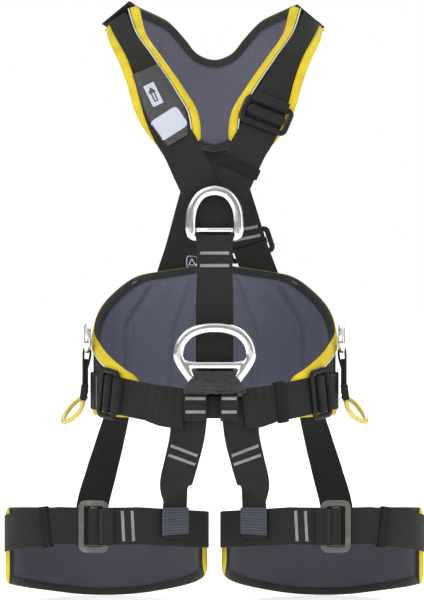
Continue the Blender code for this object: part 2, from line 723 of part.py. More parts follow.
def leg_loop(name, side):
    leg_pad(name, side)
    buckle = LEG_BUCKLE_ANGLE
    stop = 0.45
    strap(f"leg_strap_outer_{name}", leg_strap_stations(side, 60.0, buckle - stop))
    strap(f"leg_strap_inner_{name}", leg_strap_stations(side, buckle + stop, 290.0))
    place = functools.partial(leg_strap_place, side)
    adjuster(f"leg_buckle_{name}", frame_on(place, buckle), GREY_BUCKLE)
    keeper(f"leg_keeper_{name}", frame_on(place, LEG_KEEPER_ANGLE))
    leg_riser(name, side)
    rear_leg_strap(name, side)


RISER_WIDTH = 0.0430
RISER_NECK = 0.0370
RISER_FOOT_WIDTH = 0.0355
RISER_WAIST_ANGLE = 168.0
RISER_LEG_ANGLE = 222.0
# Share of the way back to the leg, height, shift outwards and slack forwards
RISER_WAY = (
    (0.0, 0.2590, -0.0014, 0.0000), (0.0, 0.2360, -0.0009, 0.0000), (0.25, 0.2120, 0.0016, 0.0005),
    (0.45, 0.1860, 0.0076, 0.0010), (0.65, 0.1575, 0.0146, 0.0010),
)
RISER_FOOT = ((0.1360, 0.0016), (0.1180, 0.0), (0.1000, 0.0), (0.0900, 0.0))


def leg_riser(name, side):
    """From the belly ring's sleeve down to the inner front of the leg strap."""
    top, facing = waist(side * RISER_WAIST_ANGLE, FRONT_LAYERS["riser"], BELT_HEIGHT)
    foot, foot_facing = leg(side, RISER_LEG_ANGLE, layer(1), LEG_STRAP_HEIGHT)
    stations = []
    for share, height, shift, depth in RISER_WAY:
        y = top.y + (foot.y - top.y) * share ** 1.6 - depth
        outward = facing.lerp(foot_facing, share ** 2)
        width = RISER_WIDTH + (RISER_NECK - RISER_WIDTH) * share
        stations.append(station((top.x + side * shift, y, height), outward, width))
    for height, out in RISER_FOOT:
        point, outward = leg(side, RISER_LEG_ANGLE, layer(1) + out, height)
        stations.append(station(point, outward, RISER_FOOT_WIDTH))
    strap(f"leg_riser_{name}", stations)


REAR_STRAP_ANGLE = 52.0
REAR_FOOT_ANGLE = 11.0


def rear_leg_strap(name, side):
    """From under the back of the waist pad down to the outer back of the leg pad."""
    stations = []
    for height in (0.262, 0.246):
        point, outward = waist(side * REAR_STRAP_ANGLE, layer(1) + 0.0006, height)
        stations.append(station(point, outward, 0.041))
    for share in (0.3, 0.65):
        top, facing = waist(side * REAR_STRAP_ANGLE, layer(1) + 0.0006, 0.236)
        foot, foot_facing = leg(side, REAR_FOOT_ANGLE, layer(0), 0.112)
        point = top.lerp(foot, share)
        stations.append(station(point, facing.lerp(foot_facing, share), 0.041))
    for height in (0.104, 0.085, 0.066):
        point, outward = leg(side, REAR_FOOT_ANGLE, layer(0) + 0.0004, height)
        stations.append(station(point, outward, 0.041))
    strap(f"rear_leg_strap_{name}", stations)


def build():
    waist_pad()
    back_yoke_pad()
    for name, side in SIDES:
        shoulder_pad(name, side)
        hip_ring(name, side)
        gear_loop(name, side)
        leg_loop(name, side)
    front_straps()
    back_straps()
    chest()
    belly()
    dorsal()
    belt()


clear_scene()
HARNESS = bpy.data.objects.new("harness", None)
bpy.context.collection.objects.link(HARNESS)
HARNESS.location = (0.0, 0.0, -WAIST_HEIGHT)
build()
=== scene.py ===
"""Work positioning harness: padded yoke, waist pad and leg pads, load webbing, forged rings and adjusters.

Front is -Y and up is +Z. Heights in the tables are above the lowest edge of the leg pads; every mesh is
lowered by WAIST_HEIGHT when it is made, so that it sits in the frame. "left" is the -X side.
"""

import functools
import math

import bpy
import numpy as np
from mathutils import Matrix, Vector
from mathutils.bvhtree import BVHTree
from mathutils.kdtree import KDTree


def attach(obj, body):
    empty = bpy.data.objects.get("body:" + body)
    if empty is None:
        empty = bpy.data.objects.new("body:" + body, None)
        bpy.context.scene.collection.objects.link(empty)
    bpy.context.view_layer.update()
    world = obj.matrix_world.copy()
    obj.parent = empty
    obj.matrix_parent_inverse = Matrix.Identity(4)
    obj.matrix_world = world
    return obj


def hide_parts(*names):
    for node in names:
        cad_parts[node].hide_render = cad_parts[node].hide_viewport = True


bl_info = {
    "name": "Work Positioning Harness",
    "version": (1, 0, 0),
    "blender": (4, 5, 0),
    "location": "View3D > Sidebar > Harness",
    "description": "Builds the soft goods, rings, adjusters and sewing of a full body harness",
    "category": "Object",
}

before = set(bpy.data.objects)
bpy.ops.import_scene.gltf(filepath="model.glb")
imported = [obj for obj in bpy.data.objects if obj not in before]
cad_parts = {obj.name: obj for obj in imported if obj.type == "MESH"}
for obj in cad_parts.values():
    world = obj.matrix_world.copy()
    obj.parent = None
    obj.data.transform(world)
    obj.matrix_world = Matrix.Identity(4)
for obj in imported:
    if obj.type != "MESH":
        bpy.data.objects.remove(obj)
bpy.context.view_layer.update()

# ---------------------------------------------------------------- sizes and places, in metres and degrees

WAIST_HEIGHT = 0.330
WEB_WIDTH = 0.0445
WEB_THICK = 0.0022
PAD_THICK = 0.009
GAP = 0.0004
RUNNING = 0.0005
WAIST_HALF_WIDTH = 0.146
WAIST_HALF_DEPTH = 0.114
WAIST_PAD_END = 142.0
WAIST_PAD_BOTTOM = 0.236
WAIST_TOP = ((0, 0.4226), (42, 0.407), (71, 0.368), (95, 0.3325), (120, 0.306), (139, 0.284), (180, 0.275))
BELT_HEIGHT = 0.265
BELT_DIP = 0.017
BELT_BUCKLE_ANGLE = 124.0
BELT_END_ANGLE = 167.0
KEEPER_ANGLE = 148.5
LEG_HALF_WIDTH = 0.119
LEG_HALF_DEPTH = 0.100
LEG_APART = 0.028
LEG_PAD_END = 100.0
LEG_BOTTOM = ((-100, 0.046), (-60, 0.020), (0, -0.0045), (60, 0.016), (100, 0.032))
LEG_TOP = ((-100, 0.104), (0, 0.108), (100, 0.121))
LEG_STRAP_HEIGHT = 0.107
LEG_BUCKLE_ANGLE = 175.0
LEG_KEEPER_ANGLE = 146.0
CHEST_DEPTH = 0.118
YOKE_DEPTH = 0.115
YOKE_HEIGHT = 0.567
CROSS_HEIGHT = 0.590
STERNAL_HEIGHT = 0.4485
VENTRAL_HEIGHT = 0.2655
SIDE_HEIGHT = 0.3140
SIDE_ANGLE = 93.0
DORSAL_HEIGHT = 0.578
RING_BAR = 0.0024
RING_PIN = 0.0032
GEAR_TUBE = 0.003
BUCKLE_BAR = 0.007
BUCKLE_THICK = 0.004
BUCKLE_LENGTH = 0.036
BUCKLE_CORNER = 0.005
BUCKLE_CLEAR = 0.0018
SLIDE_BAR = 0.008
KEEPER_LENGTH = 0.013
KEEPER_CLEAR = 0.0009
CHEST_STRAP_WIDTH = 0.0425
HOLDER_WIDTH = 0.0405
REAR_STRAP_WIDTH = 0.041
REAR_TOP_ANGLE = 52.0
REAR_FOOT_ANGLE = 11.0
RING_Y = -(CHEST_DEPTH + 0.0135)
PLATE_HALF = 0.034
PLATE_THICK = 0.004
BELT_END_THICK = 0.003

SHOULDER_PAD = (
    ((0.0944, -0.0003, 0.7369), (0.1327, -0.0003, 0.7073)),
    ((0.0836, -0.0350, 0.6998), (0.1275, -0.0350, 0.6912)),
    ((0.0621, -0.0700, 0.6658), (0.1152, -0.0700, 0.6658)),
    ((0.0365, -0.0900, 0.6279), (0.1036, -0.0900, 0.6339)),
    ((0.0209, -0.1000, 0.6008), (0.0925, -0.1000, 0.5972)),
    ((0.0173, -0.1050, 0.5789), (0.0792, -0.1050, 0.5742)),
    ((0.0184, -0.1080, 0.5585), (0.0613, -0.1080, 0.5525)),
)
YOKE_HALF = (
    ((0.0944, 0.0003, 0.7369), (0.1327, 0.0003, 0.7073)),
    ((0.0901, 0.0220, 0.7368), (0.1300, 0.0220, 0.7060)),
    ((0.0746, 0.0450, 0.7323), (0.1230, 0.0560, 0.6900)),
    ((0.0562, 0.0700, 0.7251), (0.1080, 0.0850, 0.6640)),
    ((0.0375, 0.0850, 0.7065), (0.0830, 0.1020, 0.6320)),
    ((0.0210, 0.0950, 0.6885), (0.0500, YOKE_DEPTH - 0.004, 0.5920)),
    ((0.0000, 0.1000, 0.6820), (0.0000, YOKE_DEPTH, YOKE_HEIGHT)),
)
SHOULDER_WIDTHS = (0.025, 0.024, 0.027, 0.035, 0.0425, WEB_WIDTH, WEB_WIDTH)
STRAP_SHARES = (0.58, 0.56, 0.57, 0.57, 0.59, 0.57, 0.50)
STERNAL = (
    (0.0000, 0.0000, RING_BAR, RING_BAR), (0.0212, 0.0000, RING_BAR, RING_BAR),
    (0.0262, 0.0022, 0.0042, 0.0042), (0.0280, 0.0100, 0.0060, 0.0046), (0.0282, 0.0200, 0.0060, 0.0046),
    (0.0250, 0.0385, 0.0060, 0.0046), (0.0150, 0.0525, 0.0060, 0.0046), (0.0000, 0.0570, 0.0060, 0.0046),
)
VENTRAL = (
    (0.0000, 0.0075, 0.0030, 0.0030), (0.0170, 0.0075, 0.0030, 0.0030),
    (0.0235, 0.0092, 0.0044, 0.0042), (0.0275, 0.0180, 0.0055, 0.0046), (0.0365, 0.0320, 0.0064, 0.0046),
    (0.0425, 0.0435, 0.0064, 0.0046), (0.0405, 0.0575, 0.0062, 0.0046), (0.0315, 0.0695, 0.0062, 0.0046),
    (0.0160, 0.0765, 0.0060, 0.0046), (0.0000, 0.0782, 0.0060, 0.0046),
)
HIP_RING = (
    (0.0000, 0.0000, RING_BAR, RING_BAR), (0.0215, 0.0000, RING_BAR, RING_BAR),
    (0.0262, 0.0015, 0.0036, 0.0036), (0.0282, 0.0080, 0.0050, 0.0042), (0.0255, 0.0180, 0.0050, 0.0042),
    (0.0150, 0.0255, 0.0050, 0.0042), (0.0000, 0.0280, 0.0050, 0.0042),
)
GEAR_PATH = (
    (0.1555, -0.032, 0.2570), (0.1590, -0.035, 0.2430), (0.1690, -0.031, 0.2320), (0.1800, -0.016, 0.2265),
    (0.1830, 0.005, 0.2285), (0.1790, 0.024, 0.2370), (0.1690, 0.035, 0.2490), (0.1555, 0.038, 0.2570),
)
FRONT_LAYERS = {
    "patch": 1.5 * WEB_THICK + GAP,
    "riser": 2.5 * WEB_THICK + 2 * GAP,
    "belt": 3.5 * WEB_THICK + 3 * GAP + 0.0018,
}
VENTRAL_Y = -(WAIST_HALF_DEPTH + FRONT_LAYERS["belt"] + BELT_END_THICK / 2 + 0.0044)
RISER_WAY = (
    (0.0, 0.2590, -0.0014, 0.0000), (0.0, 0.2360, -0.0009, 0.0000), (0.25, 0.2120, 0.0016, 0.0005),
    (0.45, 0.1860, 0.0076, 0.0010), (0.65, 0.1575, 0.0146, 0.0010),
)
RISER_FOOT = ((0.1360, 0.0016), (0.1180, 0.0), (0.1000, 0.0), (0.0900, 0.0))

BACK_STRAPS = {"left": (1, 0, 0.050), "right": (-1, 1, 0.0575)}   # settings of dorsal_stations
SIDES = (("left", -1), ("right", 1))
UP = Vector((0.0, 0.0, 1.0))
FRONT = Vector((0.0, -1.0, 0.0))
BACK = Vector((0.0, 1.0, 0.0))
RIGHT = Vector((1.0, 0.0, 0.0))
BODY_CORE = Vector((0.0, 0.0, 0.60))
LOWER = Vector((0.0, 0.0, WAIST_HEIGHT))
FINE = 0.005                # longest straight stretch in a finished curve


# ---------------------------------------------------------------- curves and frames


def layer(number):
    """Distance from the middle of a pad to the middle of a webbing layer outside it."""
    return PAD_THICK / 2 + GAP + WEB_THICK / 2 + number * (WEB_THICK + GAP)


def mirror(point, side):
    return Vector((side * point[0], point[1], point[2]))


def smooth(rows, step=FINE, closed=False):
    """A smooth curve through rows of numbers, of which the first three are a place."""
    rows = [tuple(row) for row in rows]
    count = len(rows)
    spans = count if closed else count - 1

    def row(index):
        return rows[index % count] if closed else rows[min(max(index, 0), count - 1)]

    def distance(index):
        return max((Vector(row(index + 1)[:3]) - Vector(row(index)[:3])).length, 1e-6)

    def slope(index):
        before, here, after = row(index - 1), row(index), row(index + 1)
        if not closed and index == 0:
            return [(b - a) / distance(0) for a, b in zip(here, after)]
        if not closed and index == count - 1:
            return [(b - a) / distance(index - 1) for a, b in zip(before, here)]
        back, ahead = distance(index - 1), distance(index)
        return [
            ((b - a) / back * ahead + (c - b) / ahead * back) / (back + ahead)
            for a, b, c in zip(before, here, after)
        ]

    curve = []
    for index in range(spans):
        length = distance(index)
        pieces = max(1, math.ceil(length / step - 0.2))
        start, end = row(index), row(index + 1)
        leave, arrive = slope(index), slope(index + 1)
        for piece in range(pieces):
            t = piece / pieces
            curve.append([
                a * (2 * t**3 - 3 * t**2 + 1) + length * m * (t**3 - 2 * t**2 + t)
                + b * (3 * t**2 - 2 * t**3) + length * n * (t**3 - t**2)
                for a, b, m, n in zip(start, end, leave, arrive)
            ])
    if not closed:
        curve.append(list(rows[-1]))
    return curve


def turned_frames(rows):
    """Frames (middle, half across, half outward) along rows of place, outward direction, width, thickness."""
    places = [Vector(row[:3]) for row in rows]
    frames = []
    for index, row in enumerate(rows):
        along = places[min(index + 1, len(places) - 1)] - places[max(index - 1, 0)]
        across = along.normalized().cross(Vector(row[3:6])).normalized()
        outward = across.cross(along).normalized()
        frames.append((places[index], across * row[6] / 2, outward * row[7] / 2))
    return frames


def station(point, outward, width=WEB_WIDTH, thickness=WEB_THICK):
    return (*point, *outward, width, thickness)


def edge_frames(rows, thickness, step=FINE):
    """Frames of a pad between two edges, facing away from the body."""
    curve = smooth([(*inner, *outer) for inner, outer in rows], step)
    middles = [(Vector(row[:3]) + Vector(row[3:6])) / 2 for row in curve]
    frames = []
    for index, row in enumerate(curve):
        along = middles[min(index + 1, len(middles) - 1)] - middles[max(index - 1, 0)]
        across = (Vector(row[3:6]) - Vector(row[:3])) / 2
        outward = across.cross(along).normalized()
        if outward.dot(middles[index] - BODY_CORE) < 0:
            outward = -outward
        frames.append((middles[index], across, outward * thickness / 2))
    return frames


def oval(half_width, half_depth, degrees, offset, height):
    """Place and outward direction on an upright oval, degrees counted from the back towards +X."""
    turn = math.radians(degrees)
    outward = Vector((math.sin(turn) / half_width, math.cos(turn) / half_depth, 0.0)).normalized()
    middle = Vector((half_width * math.sin(turn), half_depth * math.cos(turn), height))
    return middle + outward * offset, outward


def waist(degrees, offset, height):
    return oval(WAIST_HALF_WIDTH, WAIST_HALF_DEPTH, degrees, offset, height)


def leg(side, degrees, offset, height):
    """On a leg's oval, degrees counted from the back towards the outer side."""
    point, outward = oval(LEG_HALF_WIDTH, LEG_HALF_DEPTH, degrees, offset, height)
    point.x += LEG_HALF_WIDTH + LEG_APART / 2
    return mirror(point, side), mirror(outward, side)


def between(table, value):
    """Straight interpolation in a table of (value, result) pairs."""
    for (low, first), (high, second) in zip(table, table[1:]):
        if value <= high:
            return first + (second - first) * (value - low) / (high - low)
    return table[-1][1]


def eased(table, value, reach=6.0):
    """The table's value averaged over a short stretch, so that its corners are round."""
    samples = [between(table, value + reach * k / 3) for k in range(-3, 4)]
    return sum(samples) / len(samples)


def frame_on(locate, degrees):
    """Place, along, across and outward where a strap round an oval passes an angle."""
    (before, _), (middle, outward), (after, _) = locate(degrees - 2), locate(degrees), locate(degrees + 2)
    along = (after - before).normalized()
    across = along.cross(outward).normalized()
    return middle, along, across, across.cross(along)


def frame_at(rows, height):
    """Place, along, across and outward of a strap's curve where it passes a height on its way down."""
    at = next(k for k in range(1, len(rows)) if rows[k][2] <= height)
    start, end = Vector(rows[at - 1][:3]), Vector(rows[at][:3])
    middle = start.lerp(end, (start.z - height) / (start.z - end.z))
    along = (end - start).normalized()
    across = along.cross(Vector(rows[at][3:6])).normalized()
    return at, (middle, along, across, across.cross(along))


def divide(rows, height, space=0.0014):
    """The two runs of a strap above and below an adjuster, and the frame at the adjuster's middle."""
    at, place = frame_at(rows, height)
    middle, along, _, outward = place
    width = rows[at][6]
    upper = rows[:at - 1] + [station(middle - along * space / 2, outward, width)]
    lower = [station(middle + along * space / 2, outward, width)] + rows[at + 1:]
    return upper, lower, place


def degrees_between(start, end, step):
    count = max(1, round(abs(end - start) / step))
    return [start + (end - start) * k / count for k in range(count + 1)]


def rounded_path(width, height, corner, half, thick, turns=6):
    """Centre line of a rectangular frame with round corners."""
    path = []
    for sx, sy, quarter in ((1, 1, 0), (-1, 1, 1), (-1, -1, 2), (1, -1, 3)):
        for k in range(turns + 1):
            angle = math.radians(90 * quarter + 90 * k / turns)
            u = sx * (width / 2 - corner) + corner * math.cos(angle)
            v = sy * (height / 2 - corner) + corner * math.sin(angle)
            path.append((u, v, half, thick))
    return path


def both_sides(half):
    """A ring's whole path from its right half, which starts and ends on the middle line."""
    return list(half) + [(-u, v, a, b) for u, v, a, b in reversed(half[1:-1])]


def section(sides, squareness=2.0):
    """A rounded outline; 2 is an ellipse and higher numbers have squarer corners."""
    outline = []
    for k in range(sides):
        angle = 2 * math.pi * k / sides
        c, s = math.cos(angle), math.sin(angle)
        outline.append((
            math.copysign(abs(c) ** (2 / squareness), c), math.copysign(abs(s) ** (2 / squareness), s),
        ))
    return outline


def path_frames(path, place, axes, step=None):
    """Frames of a closed ring whose path holds (u, v, half width in the plane, half thickness)."""
    u_axis, v_axis, w_axis = axes
    rows = [(u, v, 0.0, half, thick) for u, v, half, thick in path]
    if step is not None:
        rows = smooth(rows, step, closed=True)
    frames = []
    for index, row in enumerate(rows):
        ahead, behind = rows[(index + 1) % len(rows)], rows[index - 1]
        du, dv = ahead[0] - behind[0], ahead[1] - behind[1]
        side = (u_axis * dv - v_axis * du) / math.hypot(du, dv)
        frames.append((place + u_axis * row[0] + v_axis * row[1], side * row[3], w_axis * row[4]))
    return frames


def curve_frames(places, radius, facing=UP):
    """Frames of a round cord along places."""
    frames = []
    for index, place in enumerate(places):
        along = (places[min(index + 1, len(places) - 1)] - places[max(index - 1, 0)]).normalized()
        across = along.cross(facing).normalized()
        frames.append((place, across * radius, across.cross(along) * radius))
    return frames


def fold(axis, radius, out, up, steps=10):
    """Half turn of webbing over a bar, from the body side to the outer side."""
    turns = []
    for k in range(steps + 1):
        angle = math.pi * k / steps
        outward = -out * math.cos(angle) + up * math.sin(angle)
        turns.append((axis + outward * radius, outward))
    return turns


# ---------------------------------------------------------------- sizes and colours that a user may change


def srgb(red, green, blue):
    """A screen colour, 0 to 255, as the linear colour that a shader takes."""
    return tuple(
        (c / 255 / 12.92) if c <= 10 else ((c / 255 + 0.055) / 1.055) ** 2.4 for c in (red, green, blue)
    )


def length(name, default, text):
    return bpy.props.FloatProperty(name=name, description=text, default=default, unit="LENGTH", precision=4)


def colour(name, rgb, text):
    return bpy.props.FloatVectorProperty(
        name=name, description=text, default=srgb(*rgb), size=3, min=0.0, max=1.0, subtype="COLOR",
    )


class HarnessSizes(bpy.types.PropertyGroup):
    tape_width: length("Tape width", 0.0086, "Width of the edge tape that shows on a pad's face")
    wing_tape: length("Wing tape width", 0.0096, "Width of the edge tape on the waist pad's front wings")
    binding_width: length("Binding width", 0.0078, "Width of the dark binding on a pad's lining side")
    tape_rise: length("Tape rise", 0.0007, "How far a tape stands proud of the pad's edge")
    piping: length("Piping radius", 0.0009, "Radius of the pale piping beside the tape")
    puff: length("Puff", 0.0034, "How far the lining side of a pad may swell")
    voxel: length("Pad voxel", 0.0046, "Voxel size that a pad is remeshed at before it is filled")
    thread: length("Thread radius", 0.00042, "Radius of the sewing thread")
    tack_width: length("Bar tack width", 0.0040, "Width of a bar tack's zigzag")
    weft: length("Weft pitch", 0.0023, "Distance between the cross ribs of the webbing")
    warp: length("Warp pitch", 0.0014, "Distance between the lengthwise yarns of the webbing")
    pressure: bpy.props.FloatProperty(
        name="Filling pressure", description="Cloth pressure that fills a pad", default=4.0, min=0.0,
    )
    frames: bpy.props.IntProperty(
        name="Filling frames", description="Frames that a pad is filled for", default=14, min=2, max=40,
    )


class HarnessColours(bpy.types.PropertyGroup):
    webbing: colour("Webbing", (30, 30, 29), "Load webbing")
    yoke_lining: colour("Yoke lining", (84, 84, 97), "Lining of the back yoke")
    waist_lining: colour("Waist lining", (84, 85, 100), "Lining of the waist pad")
    leg_lining: colour("Leg lining", (68, 67, 77), "Lining of the leg pads")
    shell_cloth: colour("Outer cloth", (42, 42, 43), "Outer cloth of the pads")
    tape: colour("Edge tape", (232, 192, 42), "Edge tape round the pads")
    binding: colour("Binding", (44, 46, 45), "Dark binding on the lining side")
    piping: colour("Piping", (232, 230, 220), "Reflective piping")
    gear: colour("Gear loop", (222, 200, 96), "Gear loop tubes")
    thread: colour("Thread", (142, 142, 142), "Bar tack thread")
    label: colour("Label", (180, 184, 198), "Printed label panels")
    buckle: colour("Black adjuster", (26, 26, 27), "Coated adjusters")
    leg_buckle: colour("Grey adjuster", (92, 92, 88), "Bare adjusters of the leg loops")


# ---------------------------------------------------------------- finishes


class Port:
    """A shader socket; arithmetic on it adds Math nodes to its finish."""

    def __init__(self, finish, socket):
        self.finish = finish
        self.socket = socket

    def _with(self, operation, first, second):
        return self.finish.node("ShaderNodeMath", {"operation": operation}, {0: first, 1: second})

    def __add__(self, other):
        return self._with("ADD", self, other)

    def __radd__(self, other):
        return self._with("ADD", other, self)

    def __sub__(self, other):
        return self._with("SUBTRACT", self, other)

    def __rsub__(self, other):
        return self._with("SUBTRACT", other, self)

    def __mul__(self, other):
        return self._with("MULTIPLY", self, other)

    def __rmul__(self, other):
        return self._with("MULTIPLY", other, self)


class Finish:
    """One procedural material and the nodes in it."""

    def __init__(self, name, roughness=0.8, metallic=0.0, **constants):
        self.material = bpy.data.materials.new(name)
        self.material.use_nodes = True
        self.tree = self.material.node_tree
        self.shader = self.tree.nodes["Principled BSDF"]
        self.shader.inputs["Roughness"].default_value = roughness
        self.shader.inputs["Metallic"].default_value = metallic
        for socket, value in constants.items():
            self.shader.inputs[socket.replace("_", " ")].default_value = value

    def node(self, kind, settings=None, sockets=None, output=0):
        made = self.tree.nodes.new(kind)
        for name, value in (settings or {}).items():
            setattr(made, name, value)
        for key, value in (sockets or {}).items():
            self.set(made.inputs[key], value)
        return Port(self, made.outputs[output])

    def set(self, socket, value):
        if isinstance(value, Port):
            self.tree.links.new(value.socket, socket)
        else:
            socket.default_value = value

    def feed(self, **values):
        for name, value in values.items():
            self.set(self.shader.inputs[name.replace("_", " ")], value)

    def sine(self, value):
        return self.node("ShaderNodeMath", {"operation": "SINE"}, {0: value})

    def limit(self, value):
        return self.node("ShaderNodeClamp", None, {0: value})

    def place(self):
        return self.node("ShaderNodeTexCoord", output="Object")

    def across_along(self):
        """Metres across and along a piece that is laid on a path."""
        uv = self.node("ShaderNodeUVMap", {"uv_map": "UVMap"})
        return (
            self.node("ShaderNodeSeparateXYZ", None, {0: uv}, "X"),
            self.node("ShaderNodeSeparateXYZ", None, {0: uv}, "Y"),
        )

    def noise(self, scale, detail=3.0, rough=0.55, vector=None):
        sockets = {"Vector": vector or self.place(), "Scale": scale, "Detail": detail, "Roughness": rough}
        return self.node("ShaderNodeTexNoise", None, sockets, "Fac")

    def cells(self, scale):
        return self.node("ShaderNodeTexVoronoi", None, {"Vector": self.place(), "Scale": scale}, "Distance")

    def mix(self, share, first, second):
        first = (*first, 1.0) if isinstance(first, tuple) else first
        second = (*second, 1.0) if isinstance(second, tuple) else second
        return self.node(
            "ShaderNodeMix", {"data_type": "RGBA"}, {"Factor": share, 6: first, 7: second}, 2,
        )

    def bump(self, height, depth, strength=0.6):
        sockets = {"Height": height, "Distance": depth, "Strength": strength}
        normal = self.node("ShaderNodeBump", None, sockets)
        self.feed(Normal=normal)


def shade(rgb, share):
    return tuple(min(1.0, c * share) for c in rgb)


def woven(name, rgb, weft, warp, contrast=0.5, roughness=0.78, depth=0.0004):
    """Webbing or tape: cross ribs and lengthwise yarns that follow the strap, with painted shade in the
    grooves and painted highlight on the crests of the weave, uneven dye and lint.
    """
    finish = Finish(name, roughness, Sheen_Weight=0.04, Sheen_Roughness=0.5, Specular_IOR_Level=0.16)
    across, along = finish.across_along()
    ribs = finish.sine(along * (2 * math.pi / weft) + finish.sine(across * (2 * math.pi / warp)) * 0.9)
    yarns = finish.sine(across * (2 * math.pi / warp))
    relief = ribs * 0.35 + yarns * 0.15 + 0.5
    patches = finish.noise(38.0)
    lint = finish.noise(900.0, 2.0)
    # The colour follows the weave's relief, darker in its grooves and lighter on its crests, as painted shade
    # and painted highlight; the patches are uneven dye and the lint is random fleck.
    share = finish.limit(relief * contrast + (patches - 0.5) * 0.7 + (lint - 0.5) * 0.35 + 0.18)
    finish.feed(Base_Color=finish.mix(share, shade(rgb, 0.55), shade(rgb, 1.7)))
    finish.feed(Roughness=finish.limit(roughness + (patches - 0.5) * 0.25))
    finish.bump(relief, depth)
    return finish.material


def padded_cloth(name, rgb, grain=620.0, mottling=0.22):
    """Knitted lining or outer cloth: fine cells in the knit and slow changes of tone."""
    finish = Finish(name, 0.9, Sheen_Weight=0.08, Sheen_Roughness=0.45, Specular_IOR_Level=0.15)
    cells = finish.cells(grain)
    slow = finish.noise(9.0, 2.0)
    fine = finish.noise(260.0, 3.0)
    share = finish.limit(0.5 + (slow - 0.5) * mottling * 2 + (fine - 0.5) * 0.5 + (cells - 0.35) * 0.35)
    finish.feed(Base_Color=finish.mix(share, shade(rgb, 0.74), shade(rgb, 1.3)))
    finish.feed(Roughness=finish.limit(0.86 + (fine - 0.5) * 0.2))
    finish.bump(cells + fine * 0.6, 0.0005, 0.5)
    return finish.material


def forged(name, rgb=(0.80, 0.81, 0.80), roughness=0.14):
    """Polished alloy: faint tumbling marks, fine scratches and duller patches."""
    finish = Finish(name, roughness, 1.0)
    patches = finish.noise(45.0, 3.0)
    lengthwise = {"Vector": finish.place(), "Scale": (900.0, 60.0, 120.0)}
    stretch = finish.node("ShaderNodeMapping", None, lengthwise)
    scratches = finish.noise(1.0, 2.0, vector=stretch)
    finish.feed(Base_Color=finish.mix(finish.limit(patches * 1.3 - 0.15), shade(rgb, 0.86), rgb))
    finish.feed(Roughness=finish.limit(roughness + (patches - 0.4) * 0.16 + (scratches - 0.5) * 0.12))
    finish.bump(scratches * 0.5 + patches, 0.00025, 0.22)
    return finish.material


def coated(name, rgb, roughness, metallic, wear):
    """Coated or bare adjuster metal: orange peel, rubbed patches and small specks."""
    finish = Finish(name, roughness, metallic, Specular_IOR_Level=0.3)
    peel = finish.noise(520.0, 2.0)
    rub = finish.limit((finish.noise(70.0, 4.0, 0.65) - 0.52) * 5.0)
    finish.feed(Base_Color=finish.mix(rub * wear, rgb, shade(rgb, 2.1)))
    finish.feed(Roughness=finish.limit(roughness + (peel - 0.5) * 0.18 - rub * 0.1))
    finish.bump(peel, 0.0002, 0.35)
    return finish.material


def tubing(name, rgb):
    """Moulded tube over a cord: soft gloss with faint rings along it and a scuffed underside."""
    finish = Finish(name, 0.42, Coat_Weight=0.15)
    along = finish.across_along()[1]
    rings = finish.sine(along * (2 * math.pi / 0.0016))
    scuff = finish.noise(160.0, 3.0)
    share = finish.limit(scuff * 0.9 + rings * 0.08)
    finish.feed(Base_Color=finish.mix(share, shade(rgb, 0.78), shade(rgb, 1.12)))
    finish.feed(Roughness=finish.limit(0.36 + (scuff - 0.5) * 0.3))
    finish.bump(rings * 0.3 + scuff, 0.0002, 0.4)
    return finish.material


def satin(name, rgb):
    """Glossy woven sleeve with the creases of a sleeve that is pulled tight, darker and lighter along the
    creases as painted shade and painted highlight.
    """
    finish = Finish(name, 0.25, Specular_IOR_Level=0.6)
    across, along = finish.across_along()
    stretch = finish.node("ShaderNodeMapping", None, {"Vector": finish.place(), "Scale": (60.0, 60.0, 190.0)})
    creases = finish.noise(1.0, 4.0, 0.6, stretch)
    weave = finish.sine(along * (2 * math.pi / 0.0012)) * finish.sine(across * (2 * math.pi / 0.0012))
    # The colour darkens and lightens with the creases: painted shade and painted highlight of a glossy
    # crumpled sleeve.
    finish.feed(Base_Color=finish.mix(finish.limit(creases * 1.4 - 0.3), shade(rgb, 0.5), shade(rgb, 1.8)))
    finish.feed(Roughness=finish.limit(0.26 + (creases - 0.5) * 0.5))
    finish.bump(creases + weave * 0.03, 0.006, 1.0)
    return finish.material


def printed(name, rgb, roughness=0.5):
    """Coated label panel: even colour with faint weave and handling marks."""
    finish = Finish(name, roughness)
    marks = finish.noise(60.0, 4.0)
    weave = finish.noise(1400.0, 1.0)
    share = finish.limit(0.35 + (marks - 0.5) * 0.8 + (weave - 0.5) * 0.4)
    finish.feed(Base_Color=finish.mix(share, shade(rgb, 0.9), shade(rgb, 1.05)))
    finish.feed(Roughness=finish.limit(roughness + (marks - 0.5) * 0.25))
    finish.bump(weave, 0.00015, 0.4)
    return finish.material


FINISHES = {}


